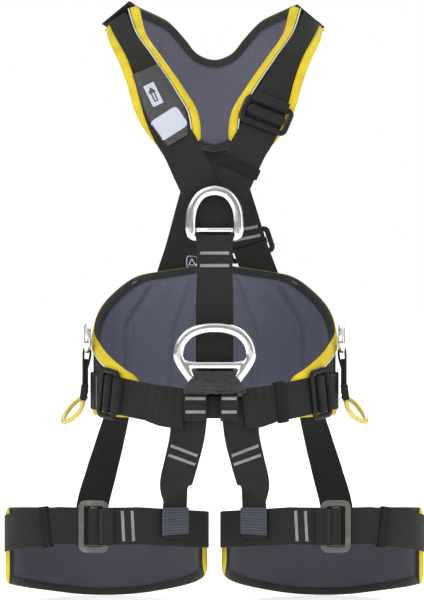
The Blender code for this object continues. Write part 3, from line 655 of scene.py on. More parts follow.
def finish_of(name):
    """A finish by its name, made the first time that a piece asks for it."""
    if name not in FINISHES:
        c = bpy.context.scene.harness_colours
        s = bpy.context.scene.harness_sizes
        makers = {
            "webbing": lambda: woven("load_webbing", tuple(c.webbing), s.weft, s.warp, 0.85, depth=0.0006),
            "ribbed": lambda: woven("ribbed_webbing", srgb(66, 68, 76), 0.0042, s.warp, 0.8, depth=0.0009),
            "elastic": lambda: woven("elastic_band", shade(tuple(c.webbing), 0.9), 0.0012, 0.0012, 0.35, 0.9),
            "tape": lambda: woven("edge_tape", tuple(c.tape), 0.0015, 0.0011, 0.22, 0.7, 0.0002),
            "binding": lambda: woven("dark_binding", tuple(c.binding), 0.0016, 0.0012, 0.4, 0.8, 0.0003),
            "thread": lambda: woven("sewing_thread", tuple(c.thread), 0.0009, 0.0009, 0.5, 0.6, 0.0001),
            "piping": lambda: woven("reflective_piping", tuple(c.piping), 0.0018, 0.0012, 0.3, 0.4, 0.0001),
            "yoke_lining": lambda: padded_cloth("yoke_lining", tuple(c.yoke_lining)),
            "waist_lining": lambda: padded_cloth("waist_lining", tuple(c.waist_lining)),
            "leg_lining": lambda: padded_cloth("leg_lining", tuple(c.leg_lining)),
            "shell_cloth": lambda: padded_cloth("outer_cloth", tuple(c.shell_cloth), 480.0, 0.15),
            "alloy": lambda: forged("polished_alloy"),
            "steel": lambda: forged("pin_steel", (0.92, 0.92, 0.90), 0.1),
            "buckle": lambda: coated("coated_adjuster", tuple(c.buckle), 0.38, 0.3, 0.35),
            "leg_buckle": lambda: coated("bare_adjuster", tuple(c.leg_buckle), 0.5, 0.55, 0.6),
            "plate": lambda: coated("moulded_plate", tuple(c.buckle), 0.5, 0.0, 0.25),
            "gear": lambda: tubing("gear_tube", tuple(c.gear)),
            "sleeve": lambda: satin("satin_sleeve", srgb(22, 22, 23)),
            "label": lambda: printed("label_panel", tuple(c.label)),
            "label_cloth": lambda: printed("label_cloth", srgb(52, 52, 54), 0.55),
        }
        FINISHES[name] = makers[name]()
    return FINISHES[name]


# ---------------------------------------------------------------- modelling


def only(*objects):
    """Selects just these objects; the last one is active."""
    bpy.ops.object.select_all(action="DESELECT")
    for item in objects:
        item.select_set(True)
        bpy.context.view_layer.objects.active = item


def in_edit(item, *steps):
    """Runs edit mode operators, each as (operator, settings), on a piece that is selected all over."""
    only(item)
    bpy.ops.object.mode_set(mode="EDIT")
    bpy.ops.mesh.select_all(action="SELECT")
    for operator, settings in steps:
        operator(**settings)
    bpy.ops.object.mode_set(mode="OBJECT")


def modify(item, kind, **settings):
    """Adds one modifier and applies it."""
    made = item.modifiers.new(kind.lower(), kind)
    for name, value in settings.items():
        setattr(made, name, value)
    only(item)
    bpy.ops.object.modifier_apply(modifier=made.name)


def settle(item, finish, body="harness", nodes=(), smooth_angle=40.0):
    """Gives a finished piece its finish, its body and the frame nodes that it stands for."""
    if finish is not None:
        item.data.materials.clear()
        item.data.materials.append(finish_of(finish))
    only(item)
    bpy.ops.object.shade_smooth_by_angle(angle=math.radians(smooth_angle))
    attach(item, body)
    if nodes:
        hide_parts(*nodes)
    return item


def laid_grid(name, points):
    """A grid primitive whose vertices are laid on points[row][column]; its UV map is in metres."""
    points = np.array([[tuple(p) for p in row] for row in points], float)
    points[:, :, 2] -= WAIST_HEIGHT
    rows, columns = points.shape[0] - 1, points.shape[1] - 1
    bpy.ops.object.select_all(action="DESELECT")
    bpy.ops.mesh.primitive_grid_add(x_subdivisions=columns, y_subdivisions=rows, size=2.0)
    made = bpy.context.object
    made.name = made.data.name = name
    flat = np.empty(len(made.data.vertices) * 3)
    made.data.vertices.foreach_get("co", flat)
    flat = flat.reshape(-1, 3)
    column = np.rint((flat[:, 0] + 1) / 2 * columns).astype(int)
    row = np.rint((flat[:, 1] + 1) / 2 * rows).astype(int)
    made.data.vertices.foreach_set("co", points[row, column].ravel())
    wide = np.linalg.norm(np.diff(points, axis=1), axis=2).mean(axis=0)
    far = np.linalg.norm(np.diff(points[:, columns // 2], axis=0), axis=1)
    across = np.concatenate([[0.0], np.cumsum(wide)])
    along = np.concatenate([[0.0], np.cumsum(far)])
    corner = np.empty(len(made.data.loops), np.int32)
    made.data.loops.foreach_get("vertex_index", corner)
    uv = np.stack([across[column[corner]], along[row[corner]]], axis=1)
    made.data.uv_layers.active.data.foreach_set("uv", uv.ravel())
    made.data.update()
    return made


def web(name, rows, finish="webbing", body="harness", nodes=(), columns=6, thick=None):
    """Flat webbing: a grid laid along the strap, given its thickness and a rolled edge."""
    points = []
    for middle, across, _ in turned_frames(rows):
        points.append([middle + across * (2 * k / columns - 1) for k in range(columns + 1)])
    made = laid_grid(name, points)
    modify(made, "SOLIDIFY", thickness=thick or rows[0][7], offset=0.0)
    modify(made, "BEVEL", width=0.0006, segments=2, limit_method="ANGLE", angle_limit=math.radians(55))
    in_edit(made, (bpy.ops.mesh.normals_make_consistent, {"inside": False}))
    return settle(made, finish, body, nodes)


def tube(name, frames, outline, finish, body="harness", nodes=(), closed=False, angle=40.0):
    """A grid rolled into a closed band or bar along frames, its seam merged and its ends filled.

    The outline is one for the whole length, or a function of a frame's place.
    """
    points = []
    for middle, across, outward in frames:
        ring_of = outline(middle) if callable(outline) else outline
        points.append([middle + across * x + outward * y for x, y in (*ring_of, ring_of[0])])
    if closed:
        points.append(points[0])
    made = laid_grid(name, points)
    in_edit(
        made,
        (bpy.ops.mesh.remove_doubles, {"threshold": 1e-6}),
        (bpy.ops.mesh.fill_holes, {"sides": 0}),
        (bpy.ops.mesh.normals_make_consistent, {"inside": False}),
    )
    return settle(made, finish, body, nodes, angle)


def merged(name, pieces):
    """Joins pieces of one body and finish into a single object."""
    only(*pieces)
    bpy.ops.object.join()
    made = bpy.context.object
    made.name = made.data.name = name
    return made


# ---------------------------------------------------------------- padded pieces


CORNER = 0.013              # radius of a pad's free corners
CROWN = ((0.0, 0.0), (0.002, 0.45), (0.006, 0.8), (0.012, 1.0), (1.0, 1.0))


def rounding(to_end, radius=CORNER):
    """How far an edge draws in near a pad's end."""
    if to_end >= radius:
        return 0.0
    return radius - math.sqrt(max(0.0, radius ** 2 - (radius - to_end) ** 2))


def pad_angles(end):
    """Angles along a pad, closer together towards its rounded ends."""
    middle = degrees_between(-end + 7, end - 7, 2)
    tips = [end - d for d in (5.4, 4.0, 2.9, 1.9, 1.1, 0.5, 0.15, 0.0)]
    return [-a for a in reversed(tips)] + middle + tips


def waist_edges(degrees):
    to_end = (WAIST_PAD_END - abs(degrees)) * math.radians(1) * 0.126
    inset = rounding(to_end)
    return WAIST_PAD_BOTTOM + inset, eased(WAIST_TOP, abs(degrees)) - inset


def leg_edges(degrees):
    to_end = (LEG_PAD_END - abs(degrees)) * math.radians(1) * 0.104
    inset = rounding(to_end)
    return eased(LEG_BOTTOM, degrees, 24.0) + inset, eased(LEG_TOP, degrees) - inset


def oval_border(end, edges, locate):
    """Closed border of a pad round an oval: (place, outward) along the top and back along the bottom."""
    angles = pad_angles(end)
    border = [locate(a, edges(a)[1]) for a in angles]
    low, high = edges(end)
    border += [locate(end, high + (low - high) * share) for share in (0.3, 0.7)]
    border += [locate(a, edges(a)[0]) for a in reversed(angles)]
    low, high = edges(-end)
    border += [locate(-end, low + (high - low) * share) for share in (0.3, 0.7)]
    return border


def waist_border():
    return oval_border(WAIST_PAD_END, waist_edges, lambda a, z: waist(a, 0.0, z))


def leg_border(side):
    return oval_border(LEG_PAD_END, leg_edges, lambda a, z: leg(side, a, 0.0, z))


def shoulder_rows(side):
    return [(mirror(inner, side), mirror(outer, side)) for inner, outer in SHOULDER_PAD]


def yoke_rows():
    left = [(mirror(inner, -1), mirror(outer, -1)) for inner, outer in YOKE_HALF]
    return left + [(Vector(inner), Vector(outer)) for inner, outer in reversed(YOKE_HALF[:-1])]


STRIP_CORNER = 0.008        # radius of a shoulder pad's free end


def strip_edges(rows, round_end):
    """Inner and outer edge of a strip pad as (place, outward), drawn in at its free end."""
    frames = edge_frames(rows, 2.0)
    if round_end:
        last = frames[-1][0]
        frames = [f for f in frames if (f[0] - last).length > STRIP_CORNER * 1.02 or f is frames[-1]]
        middle, across, outward = frames.pop()
        before = frames[-1][0]
        for share in (0.35, 0.6, 0.8, 0.92, 0.98, 1.0):
            frames.append((before.lerp(middle, share), across, outward))
        end = middle
    inner, outer = [], []
    for middle, across, outward in frames:
        inset = rounding((middle - end).length, STRIP_CORNER) if round_end else 0.0
        draw = across.normalized() * inset
        inner.append((middle - across + draw, outward))
        outer.append((middle + across - draw, outward))
    return inner, outer


def oval_sections(end, edges, locate, thickness):
    """Cross sections of an oval pad, thick in the middle and thin at both edges."""
    sections = []
    for angle in pad_angles(end):
        low, high = edges(angle)
        height = high - low
        outward = locate(angle, low)[1]
        scale = min(1.0, height / 0.06)
        levels = [0.0, 0.0025 * scale, 0.007 * scale, 0.013 * scale, 0.25 * height, 0.5 * height]
        climb = levels + [height - z for z in levels[-2::-1]]
        reach = min(1.0, 0.25 + (end - abs(angle)) / 6.0)
        ring = []
        for side, places in ((1, climb), (-1, climb[::-1])):
            for z in places:
                swell = (0.35 + 0.65 * between(CROWN, min(z, height - z))) * reach
                ring.append(locate(angle, low + z)[0] + outward * (side * thickness / 2 * swell))
        sections.append(ring)
    return sections


def strip_sections(inner, outer, thickness):
    """Cross sections of a strip pad between its two edges."""
    shares = (0.0, 0.06, 0.16, 0.34, 0.5, 0.66, 0.84, 0.94, 1.0)
    swells = (0.35, 0.72, 0.94, 1.0, 1.0, 1.0, 0.94, 0.72, 0.35)
    sections = []
    for (first, outward), (second, _) in zip(inner, outer):
        face = [first.lerp(second, s) + outward * thickness / 2 * w for s, w in zip(shares, swells)]
        rear = [first.lerp(second, s) - outward * thickness / 2 * w for s, w in zip(shares, swells)]
        sections.append(face + rear[::-1])
    return sections


def near(points):
    """A search tree over points given by their heights above the leg pads."""
    tree = KDTree(len(points))
    for index, point in enumerate(points):
        tree.insert(Vector(point) - LOWER, index)
    tree.balance()
    return tree


def fill_pad(made, border, is_lining, press, seams=()):
    """Remeshes a pad, fills it as cloth, holds its sewn edge and its strap side down, and sinks its seams."""
    sizes = bpy.context.scene.harness_sizes
    modify(made, "REMESH", mode="VOXEL", voxel_size=sizes.voxel, use_smooth_shade=True)
    modify(made, "SMOOTH", factor=0.5, iterations=3)
    mesh = made.data
    count = len(mesh.vertices)
    before = np.empty(count * 3)
    mesh.vertices.foreach_get("co", before)
    before = before.reshape(-1, 3)
    normals = np.empty(count * 3, np.float32)
    mesh.vertices.foreach_get("normal", normals)
    normals = normals.reshape(-1, 3).astype(float)
    edge = near(border)
    inward = np.array([edge.find(Vector(p))[2] for p in before])
    hold = np.clip((inward - 0.007) / 0.016, 0.0, 1.0)
    hold = hold * hold * (3 - 2 * hold)
    lining = np.array([is_lining(Vector(p), Vector(n)) for p, n in zip(before, normals)])
    cloth = made.modifiers.new("filling", "CLOTH")
    cloth.settings.use_pressure = True
    cloth.settings.uniform_pressure_force = sizes.pressure
    cloth.settings.effector_weights.gravity = 0.0
    cloth.settings.quality = 4
    cloth.settings.mass = 0.3
    scene = bpy.context.scene
    for number in range(1, sizes.frames + 1):
        scene.frame_set(number)
    depsgraph = bpy.context.evaluated_depsgraph_get()
    filled = made.evaluated_get(depsgraph).data
    after = np.empty(count * 3)
    filled.vertices.foreach_get("co", after)
    after = after.reshape(-1, 3)
    made.modifiers.remove(cloth)
    scene.frame_set(1)
    moved = after - before
    far = np.linalg.norm(moved, axis=1)
    cap = np.where(lining, sizes.puff, press) * hold
    after = before + moved * np.minimum(1.0, cap / np.maximum(far, 1e-9))[:, None]
    mesh.vertices.foreach_set("co", after.ravel())
    mesh.update()
    modify(made, "SMOOTH", factor=0.5, iterations=8)
    modify(made, "SUBSURF", levels=1, render_levels=1)
    count = len(mesh.vertices)
    for seam, seam_depth, seam_width in seams:
        tree = near(seam)
        for vertex in mesh.vertices:
            if not is_lining(vertex.co, vertex.normal):
                continue
            distance = tree.find(vertex.co)[2]
            if distance < 0.018:
                sink = seam_depth * math.exp(-(distance / seam_width) ** 2)
                crest = 0.0007 * math.exp(-((distance - 0.010) / 0.004) ** 2)
                vertex.co += vertex.normal * (crest - sink)
    mesh.update()
    return made


def grid_shell(name, sections):
    """A closed shell over cross sections, as a rolled grid with filled ends."""
    made = laid_grid(name, [[*ring, ring[0]] for ring in sections])
    in_edit(
        made,
        (bpy.ops.mesh.remove_doubles, {"threshold": 1e-6}),
        (bpy.ops.mesh.fill_holes, {"sides": 0}),
        (bpy.ops.mesh.normals_make_consistent, {"inside": False}),
    )
    return made


def line_pad(made, lining, is_lining, nodes):
    """Gives the side that faces the body its lining and the rest the outer cloth."""
    made.data.materials.clear()
    made.data.materials.append(finish_of(lining))
    made.data.materials.append(finish_of("shell_cloth"))
    for face in made.data.polygons:
        face.material_index = 0 if is_lining(face.center, face.normal) else 1
    only(made)
    bpy.ops.object.shade_smooth()
    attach(made, "harness")
    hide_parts(*nodes)
    return made


def faces_in_oval(half_width, half_depth, centre_x=0.0):
    """Says whether a surface point faces the inside of an upright oval."""
    def test(point, normal):
        radial = Vector(((point.x - centre_x) / half_width ** 2, point.y / half_depth ** 2, 0.0))
        return normal.dot(radial.normalized()) < 0.25
    return test


def faces_core(point, normal):
    """Says whether a surface point of the upper body faces the wearer."""
    return normal.dot((point + LOWER - BODY_CORE).normalized()) < 0.15


LINING_LEVEL = 0.0068        # from the middle of the waist pad to its filled lining
LINE_PARTS = 30


def waist_line(corners):
    """Points on the waist pad along straight lines between (degrees, height) corners."""
    points = []
    for (a, low), (b, high) in zip(corners, corners[1:]):
        for k in range(LINE_PARTS + 1):
            degrees, height = a + (b - a) * k / LINE_PARTS, low + (high - low) * k / LINE_PARTS
            points.append(waist(degrees, -LINING_LEVEL, height)[0])
    return points


# Darts and soft folds of the waist lining: (degrees from the back, height) corners, depth, half width
WAIST_DARTS = (
    (((35, 0.392), (52.5, 0.344), (53, 0.262)), 0.0046, 0.0030),
    (((29, 0.398), (46, 0.350), (49, 0.262)), 0.0012, 0.0030),
    (((10.5, 0.400), (20, 0.340), (22, 0.262)), 0.0030, 0.0048),
)


class HARNESS_OT_pads(bpy.types.Operator):
    """Fills the waist pad, the back yoke, both shoulder pads and both leg pads as cloth"""

    bl_idname = "harness.pads"
    bl_label = "Pads"

    def execute(self, context):
        started = PAD_THICK - 0.0016
        inside = faces_in_oval(WAIST_HALF_WIDTH, WAIST_HALF_DEPTH)
        made = grid_shell("waist_pad_cushion", oval_sections(
            WAIST_PAD_END, waist_edges, lambda a, z: waist(a, 0.0, z), started))
        darts = [
            (waist_line([(side * a, z) for a, z in corners]), depth, width)
            for corners, depth, width in WAIST_DARTS for side in (-1, 1)
        ]
        fill_pad(made, [p for p, _ in waist_border()], inside, 0.0002, darts)
        line_pad(made, "waist_lining", inside, ["waist_pad"])
        for name, side in SIDES:
            centre = side * (LEG_HALF_WIDTH + LEG_APART / 2)
            inside = faces_in_oval(LEG_HALF_WIDTH, LEG_HALF_DEPTH, centre)
            made = grid_shell(f"leg_pad_{name}_cushion", oval_sections(
                LEG_PAD_END, leg_edges, lambda a, z, s=side: leg(s, a, 0.0, z), started))
            fill_pad(made, [p for p, _ in leg_border(side)], inside, 0.0002)
            line_pad(made, "leg_lining", inside, [f"leg_pad_{name}"])
            inner, outer = strip_edges(shoulder_rows(side), True)
            made = grid_shell(f"shoulder_pad_{name}_cushion", strip_sections(inner, outer, started))
            fill_pad(made, [p for p, _ in inner + outer], faces_core, 0.0004)
            line_pad(made, "yoke_lining", faces_core, [f"shoulder_pad_{name}"])
        inner, outer = strip_edges(yoke_rows(), False)
        made = grid_shell("back_yoke_cushion", strip_sections(inner, outer, started))
        fill_pad(made, [p for p, _ in inner + outer], faces_core, 0.0002)
        line_pad(made, "yoke_lining", faces_core, ["back_yoke_pad"])
        return {"FINISHED"}


# ---------------------------------------------------------------- edge tapes, bindings and piping


def border_frames(border, away_from=None):
    """Frames along a pad's border: across points off the pad, outward points away from the body."""
    places = [p for p, _ in border]
    centre = away_from or sum(places, Vector()) / len(places)
    count = len(places)
    frames = []
    for index, (place, outward) in enumerate(border):
        ahead = places[min(index + 1, count - 1)]
        behind = places[max(index - 1, 0)]
        along = (ahead - behind).normalized()
        across = outward.cross(along).normalized()
        frames.append((place, across, outward))
    turn = 1 if across_sign(frames, centre) else -1
    return [(place, across * turn, outward) for place, across, outward in frames]


def across_sign(frames, centre):
    """Whether most frames' across direction points away from a centre."""
    return sum(1 if across.dot(place - centre) > 0 else -1 for place, across, _ in frames) >= 0


def edge_band(width, rise, side, split=0.0):
    """Outline of a band folded over a pad's edge, on its outer (1) or its lining (-1) side.

    The two bands meet at split, a share of half the pad's thickness above its middle.
    """
    thick = PAD_THICK / 2
    meet = side * split * thick
    outline = [
        (rise, meet), (rise, meet + (thick - meet) * 0.34), (rise * 0.4, meet + (thick - meet) * 0.62),
        (-0.0018, meet + (thick - meet) * 0.86), (-0.0040, thick + 0.0002), (-width * 0.75, thick + 0.0008),
        (-width, thick + 0.0009), (-width - 0.0004, thick + 0.0003), (-width, thick - 0.0016),
        (-0.004, meet + 0.3 * (thick - meet)), (-0.001, meet),
    ]
    return [(x, side * y) for x, y in outline]


def band(name, border, width, rise, side, finish, split, centre):
    frames = border_frames(border, centre)
    return tube(name, frames, edge_band(width, rise, side, split), finish, angle=50.0)


def piping(name, border, inset, radius, centre=None):
    """A thin cord that lies on the pad's face beside the tape."""
    frames = [
        (place - across * inset + outward * (PAD_THICK / 2 + 0.0009), across * radius, outward * radius)
        for place, across, outward in border_frames(border, centre)
    ]
    return tube(name, frames, section(8), "piping")


class HARNESS_OT_edges(bpy.types.Operator):
    """Sews the edge tape, the dark binding and the pale piping round every pad"""

    bl_idname = "harness.edges"
    bl_label = "Edge tapes"

    def execute(self, context):
        s = context.scene.harness_sizes
        closed_edge(waist_border(), "waist_pad", s, waist_wing)
        wings = [
            [waist(side * a, 0.0, waist_edges(a)[1]) for a in degrees_between(86, 138, 2)]
            for _, side in SIDES
        ]
        for (name, side), wing in zip(SIDES, wings):
            frames = [(p, UP, o) for p, o in wing]
            cord = [
                (p - UP * (s.wing_tape + 0.0026) + o * (PAD_THICK / 2 + 0.001), UP * s.piping, o * s.piping)
                for p, _, o in frames
            ]
            tube(f"waist_piping_{name}", cord, section(8), "piping")
            closed_edge(leg_border(side), f"leg_pad_{name}", s, lambda place: 0.35)
            inner, outer = strip_edges(shoulder_rows(side), True)
            loop = inner + outer[::-1]
            core = (inner[len(inner) // 2][0] + outer[len(outer) // 2][0]) / 2
            band(f"shoulder_tape_{name}", loop, s.tape_width, s.tape_rise, 1, "tape", -0.5, core)
            band(f"shoulder_binding_{name}", loop, s.binding_width, 0.0002, -1, "binding", -0.5, core)
            piping(f"shoulder_piping_{name}", inner[:-3], s.tape_width + 0.0020, s.piping, core)
        inner, outer = strip_edges(yoke_rows(), False)
        core = Vector((0.0, 0.06, 0.645))
        for name, edge in (("neck", inner), ("lower", outer)):
            across_from = Vector((0.0, 0.09, 0.74)) if name == "neck" else core
            yoke_edge(name, edge, across_from, s)
        return {"FINISHED"}


def waist_wing(place):
    """0 round the back of the waist pad, rising to 1 on its front wings."""
    share = min(1.0, max(0.0, -place.y / 0.035))
    return share * share * (3 - 2 * share)


def closed_edge(border, name, s, wing):
    """Edge tape on the outer side and dark binding on the lining side of a pad with a closed border.

    Where wing is 1 the tape is wide and wraps the edge; where it is 0 the binding wraps the edge.
    """
    frames = border_frames_round(border)

    def tape(place):
        share = wing(place)
        width = s.tape_width + (s.wing_tape - s.tape_width) * share
        return edge_band(width, s.tape_rise, 1, 0.6 - 0.9 * share)

    def binding(place):
        return edge_band(s.binding_width, s.tape_rise * 0.6, -1, 0.6 - 0.9 * wing(place))

    tube(f"{name}_tape", frames, tape, "tape", closed=True, angle=50.0)
    tube(f"{name}_binding", frames, binding, "binding", closed=True, angle=50.0)


def border_frames_round(border):
    """Frames of a closed border that runs round an oval, found from its own turning direction."""
    places = [p for p, _ in border]
    count = len(places)
    frames = []
    for index, (place, outward) in enumerate(border):
        along = (places[(index + 1) % count] - places[index - 1]).normalized()
        frames.append([place, along.cross(outward).normalized(), outward])
    if frames[count // 4][1].z < 0:
        for row in frames:
            row[1] = -row[1]
    return [tuple(row) for row in frames]


def yoke_edge(name, edge, centre, s):
    """Tape and binding along one long edge of the yoke; the neck edge faces its centre of curvature."""
    frames = border_frames(edge, centre)
    if name == "neck":
        frames = [(p, -a, o) for p, a, o in frames]
    tube(f"yoke_{name}_tape", frames, edge_band(s.tape_width, s.tape_rise, 1, 0.6), "tape", angle=50.0)
    binding = edge_band(s.binding_width, s.tape_rise * 0.6, -1, 0.6)
    tube(f"yoke_{name}_binding", frames, binding, "binding", angle=50.0)


# ---------------------------------------------------------------- webbing


def laid(rows, fractions, offset):
    """Strap stations on the outside of a pad, at a fraction of its width from its inner edge."""
    frames = edge_frames(rows, 2.0, step=1.0)
    return [
        station(centre + across * (2 * share - 1) + outward * offset, outward)
        for (centre, across, outward), share in zip(frames, fractions)
    ]


def front_strap_stations(side, depth):
    """From the shoulder over the front pad and down behind the chest ring."""
    stations = [
        (*row[:6], width, WEB_THICK)
        for row, width in zip(laid(shoulder_rows(side), STRAP_SHARES, layer(0) + 0.001), SHOULDER_WIDTHS)
    ]
    for x, height in ((0.0270, 0.528), (0.0136, 0.4996), (-0.0018, 0.4663), (-0.0060, 0.4530)):
        stations.append(station((side * x, -CHEST_DEPTH - depth, height), FRONT))
    return stations


def dorsal_stations(side, number, waist_x):
    """From one shoulder over the yoke, across the back, to the other side of the waist pad."""
    half = [(mirror(inner, side), mirror(outer, side)) for inner, outer in YOKE_HALF]
    lift = layer(2 * number) + 0.001
    stations = laid(half, (0.52, 0.50, 0.50, 0.50, 0.52, 0.60, 0.80), lift)[:6]
    stations.append(station((0.0, YOKE_DEPTH + lift, CROSS_HEIGHT), BACK))
    slope = waist_x / (CROSS_HEIGHT - 0.410)
    for height in (0.545, 0.490, 0.430):
        x = slope * (CROSS_HEIGHT - height)
        stations.append(station((-side * x, WAIST_HALF_DEPTH + lift + 0.001, height), BACK))
    for height in (0.400, 0.370, 0.325):
        x = slope * (CROSS_HEIGHT - height)
        depth = WAIST_HALF_DEPTH * math.sqrt(1 - (x / WAIST_HALF_WIDTH) ** 2)
        outward = Vector((-side * x / WAIST_HALF_WIDTH ** 2, depth / WAIST_HALF_DEPTH ** 2, 0)).normalized()
        point = Vector((-side * x, depth, height)) + outward * (layer(0) + 0.0004)
        stations.append(station(point, outward))
    return stations


def ring_loop(radius):
    """Radius of a webbing loop's middle round a bar."""
    return radius + RUNNING + WEB_THICK / 2


def chest_stations():
    axis = Vector((0.0, RING_Y, STERNAL_HEIGHT))
    sewn = (WEB_THICK + GAP) / 2 + 0.0002
    low = axis - UP * 0.020
    stations = [
        station(low - UP * 0.022 - FRONT * sewn, -FRONT, CHEST_STRAP_WIDTH),
        station(low - FRONT * sewn, -FRONT, CHEST_STRAP_WIDTH),
    ]
    for point, outward in fold(axis, ring_loop(RING_BAR), FRONT, UP):
        stations.append(station(point, outward, CHEST_STRAP_WIDTH))
    stations.append(station(low + FRONT * sewn, FRONT, CHEST_STRAP_WIDTH))
    stations.append(station(low - UP * 0.022 + FRONT * sewn, FRONT, CHEST_STRAP_WIDTH))
    behind_patch = WAIST_HALF_DEPTH - 0.0026
    for height, depth in ((0.370, 0.0075), (0.310, 0.0030), (0.272, 0.0), (0.244, 0.0)):
        stations.append(station((0, -behind_patch - depth, height), FRONT))
    return stations


def hip_axis(side):
    offset = layer(0) + ring_loop(RING_BAR) + 0.0012
    point, outward = waist(SIDE_ANGLE, offset, SIDE_HEIGHT)
    return mirror(point, side), mirror(outward, side)


def holder_stations(side):
    axis, outward = hip_axis(side)
    radius = ring_loop(RING_BAR)
    sewn = (WEB_THICK + GAP) / 2 + 0.0002
    base = axis + outward * (WEB_THICK + GAP + 0.001 - radius + sewn + 0.0012)
    low, end = Vector((base.x, base.y, 0.288)), Vector((base.x, base.y, 0.262))
    stations = [station(level - outward * sewn, -outward, HOLDER_WIDTH) for level in (end, low)]
    for place, away in fold(axis, radius, outward, UP):
        stations.append(station(place, away, HOLDER_WIDTH))
    stations += [station(level + outward * sewn, outward, HOLDER_WIDTH) for level in (low, end)]
    return stations


def dorsal_axis():
    depth = YOKE_DEPTH + layer(2) + 0.001 + WEB_THICK / 2 + GAP + 0.0012
    radius = ring_loop(RING_BAR)
    return depth, Vector((0, depth + PLATE_THICK + GAP + WEB_THICK / 2 + radius, DORSAL_HEIGHT))


def dorsal_loop_stations():
    radius = ring_loop(RING_BAR)
    axis = dorsal_axis()[1]
    width = CHEST_STRAP_WIDTH - 2 * GAP
    sewn = axis - BACK * (radius - (WEB_THICK + GAP) / 2)
    half = BACK * (WEB_THICK + GAP) / 2
    stations = [
        station(sewn + UP * 0.030 - half, -BACK, width), station(sewn + UP * 0.014 - half, -BACK, width),
    ]
    for place, away in fold(axis, radius, BACK, -UP):
        stations.append(station(place, away, width))
    stations.append(station(sewn + UP * 0.014 + half, BACK, width))
    stations.append(station(sewn + UP * 0.030 + half, BACK, width))
    return stations


def belt_level(degrees):
    share = max(0.0, (abs(degrees) - 120.0) / (BELT_END_ANGLE - 120.0))
    return BELT_HEIGHT - BELT_DIP * share


def belt_place(degrees):
    return waist(degrees, layer(0), belt_level(degrees))


def belt_stations(start, end, step=3):
    return [station(*belt_place(degrees)) for degrees in degrees_between(start, end, step)]


def belt_front_stations(side):
    """A belt end: flat as far as the pad's end, then folded over itself in upright pleats."""
    stations = belt_stations(side * (BELT_BUCKLE_ANGLE + 0.35), side * 147.0)
    first = 149.0 if side < 0 else 153.0
    for degrees in degrees_between(148.0, BELT_END_ANGLE, 0.6):
        share = min(1.0, max(0.0, degrees - first + 1.0) / 9.0)
        depth = layer(0) + (FRONT_LAYERS["belt"] - layer(0)) * share * share * (3 - 2 * share)
        wave = (degrees - first) / 4.4
        ridge = 0.0019 * abs(math.sin(math.pi * wave)) ** 0.6 if first < degrees < 166.6 else 0.0
        point, outward = waist(side * degrees, depth + ridge, belt_level(degrees) - 0.001 * share)
        stations.append(station(point, outward, WEB_WIDTH + 0.004 * share, WEB_THICK))
    return stations


def leg_strap_level(degrees):
    front = LEG_STRAP_HEIGHT
    levels = ((60, 0.085), (95, 0.089), (155, front), (200, front), (240, 0.099), (290, 0.089))
    return between(levels, degrees)


def leg_strap_place(side, degrees):
    return leg(side, degrees, layer(0), leg_strap_level(degrees))


def leg_strap_stations(side, start, end):
    return [station(*leg_strap_place(side, degrees)) for degrees in degrees_between(start, end, 4)]


def riser_stations(side):
    """From the belly ring's sleeve down to the inner front of the leg strap."""
    top, facing = waist(side * 168.0, FRONT_LAYERS["riser"], BELT_HEIGHT)
    foot, foot_facing = leg(side, 222.0, layer(1), LEG_STRAP_HEIGHT)
    stations = []
    for share, height, shift, depth in RISER_WAY:
        y = top.y + (foot.y - top.y) * share ** 1.6 - depth
        outward = facing.lerp(foot_facing, share ** 2)
        stations.append(station((top.x + side * shift, y, height), outward, 0.0430 - 0.006 * share))
    for height, out in RISER_FOOT:
        point, outward = leg(side, 222.0, layer(1) + out, height)
        stations.append(station(point, outward, 0.0355))
    return stations


def rear_strap_stations(side):
    """From under the back of the waist pad down to the outer back of the leg pad."""
    angle, depth = side * REAR_TOP_ANGLE, layer(1) + 0.0006
    top, facing = waist(angle, depth, WAIST_PAD_BOTTOM)
    foot, foot_facing = leg(side, REAR_FOOT_ANGLE, layer(0), 0.112)
    stations = [station(*waist(angle, depth, height), REAR_STRAP_WIDTH) for height in (0.262, 0.246)]
    for share in (0.3, 0.65):
        stations.append(station(top.lerp(foot, share), facing.lerp(foot_facing, share), REAR_STRAP_WIDTH))
    for height in (0.104, 0.085, 0.066):
        place = leg(side, REAR_FOOT_ANGLE, layer(0) + 0.0004, height)
        stations.append(station(*place, REAR_STRAP_WIDTH))
    return stations


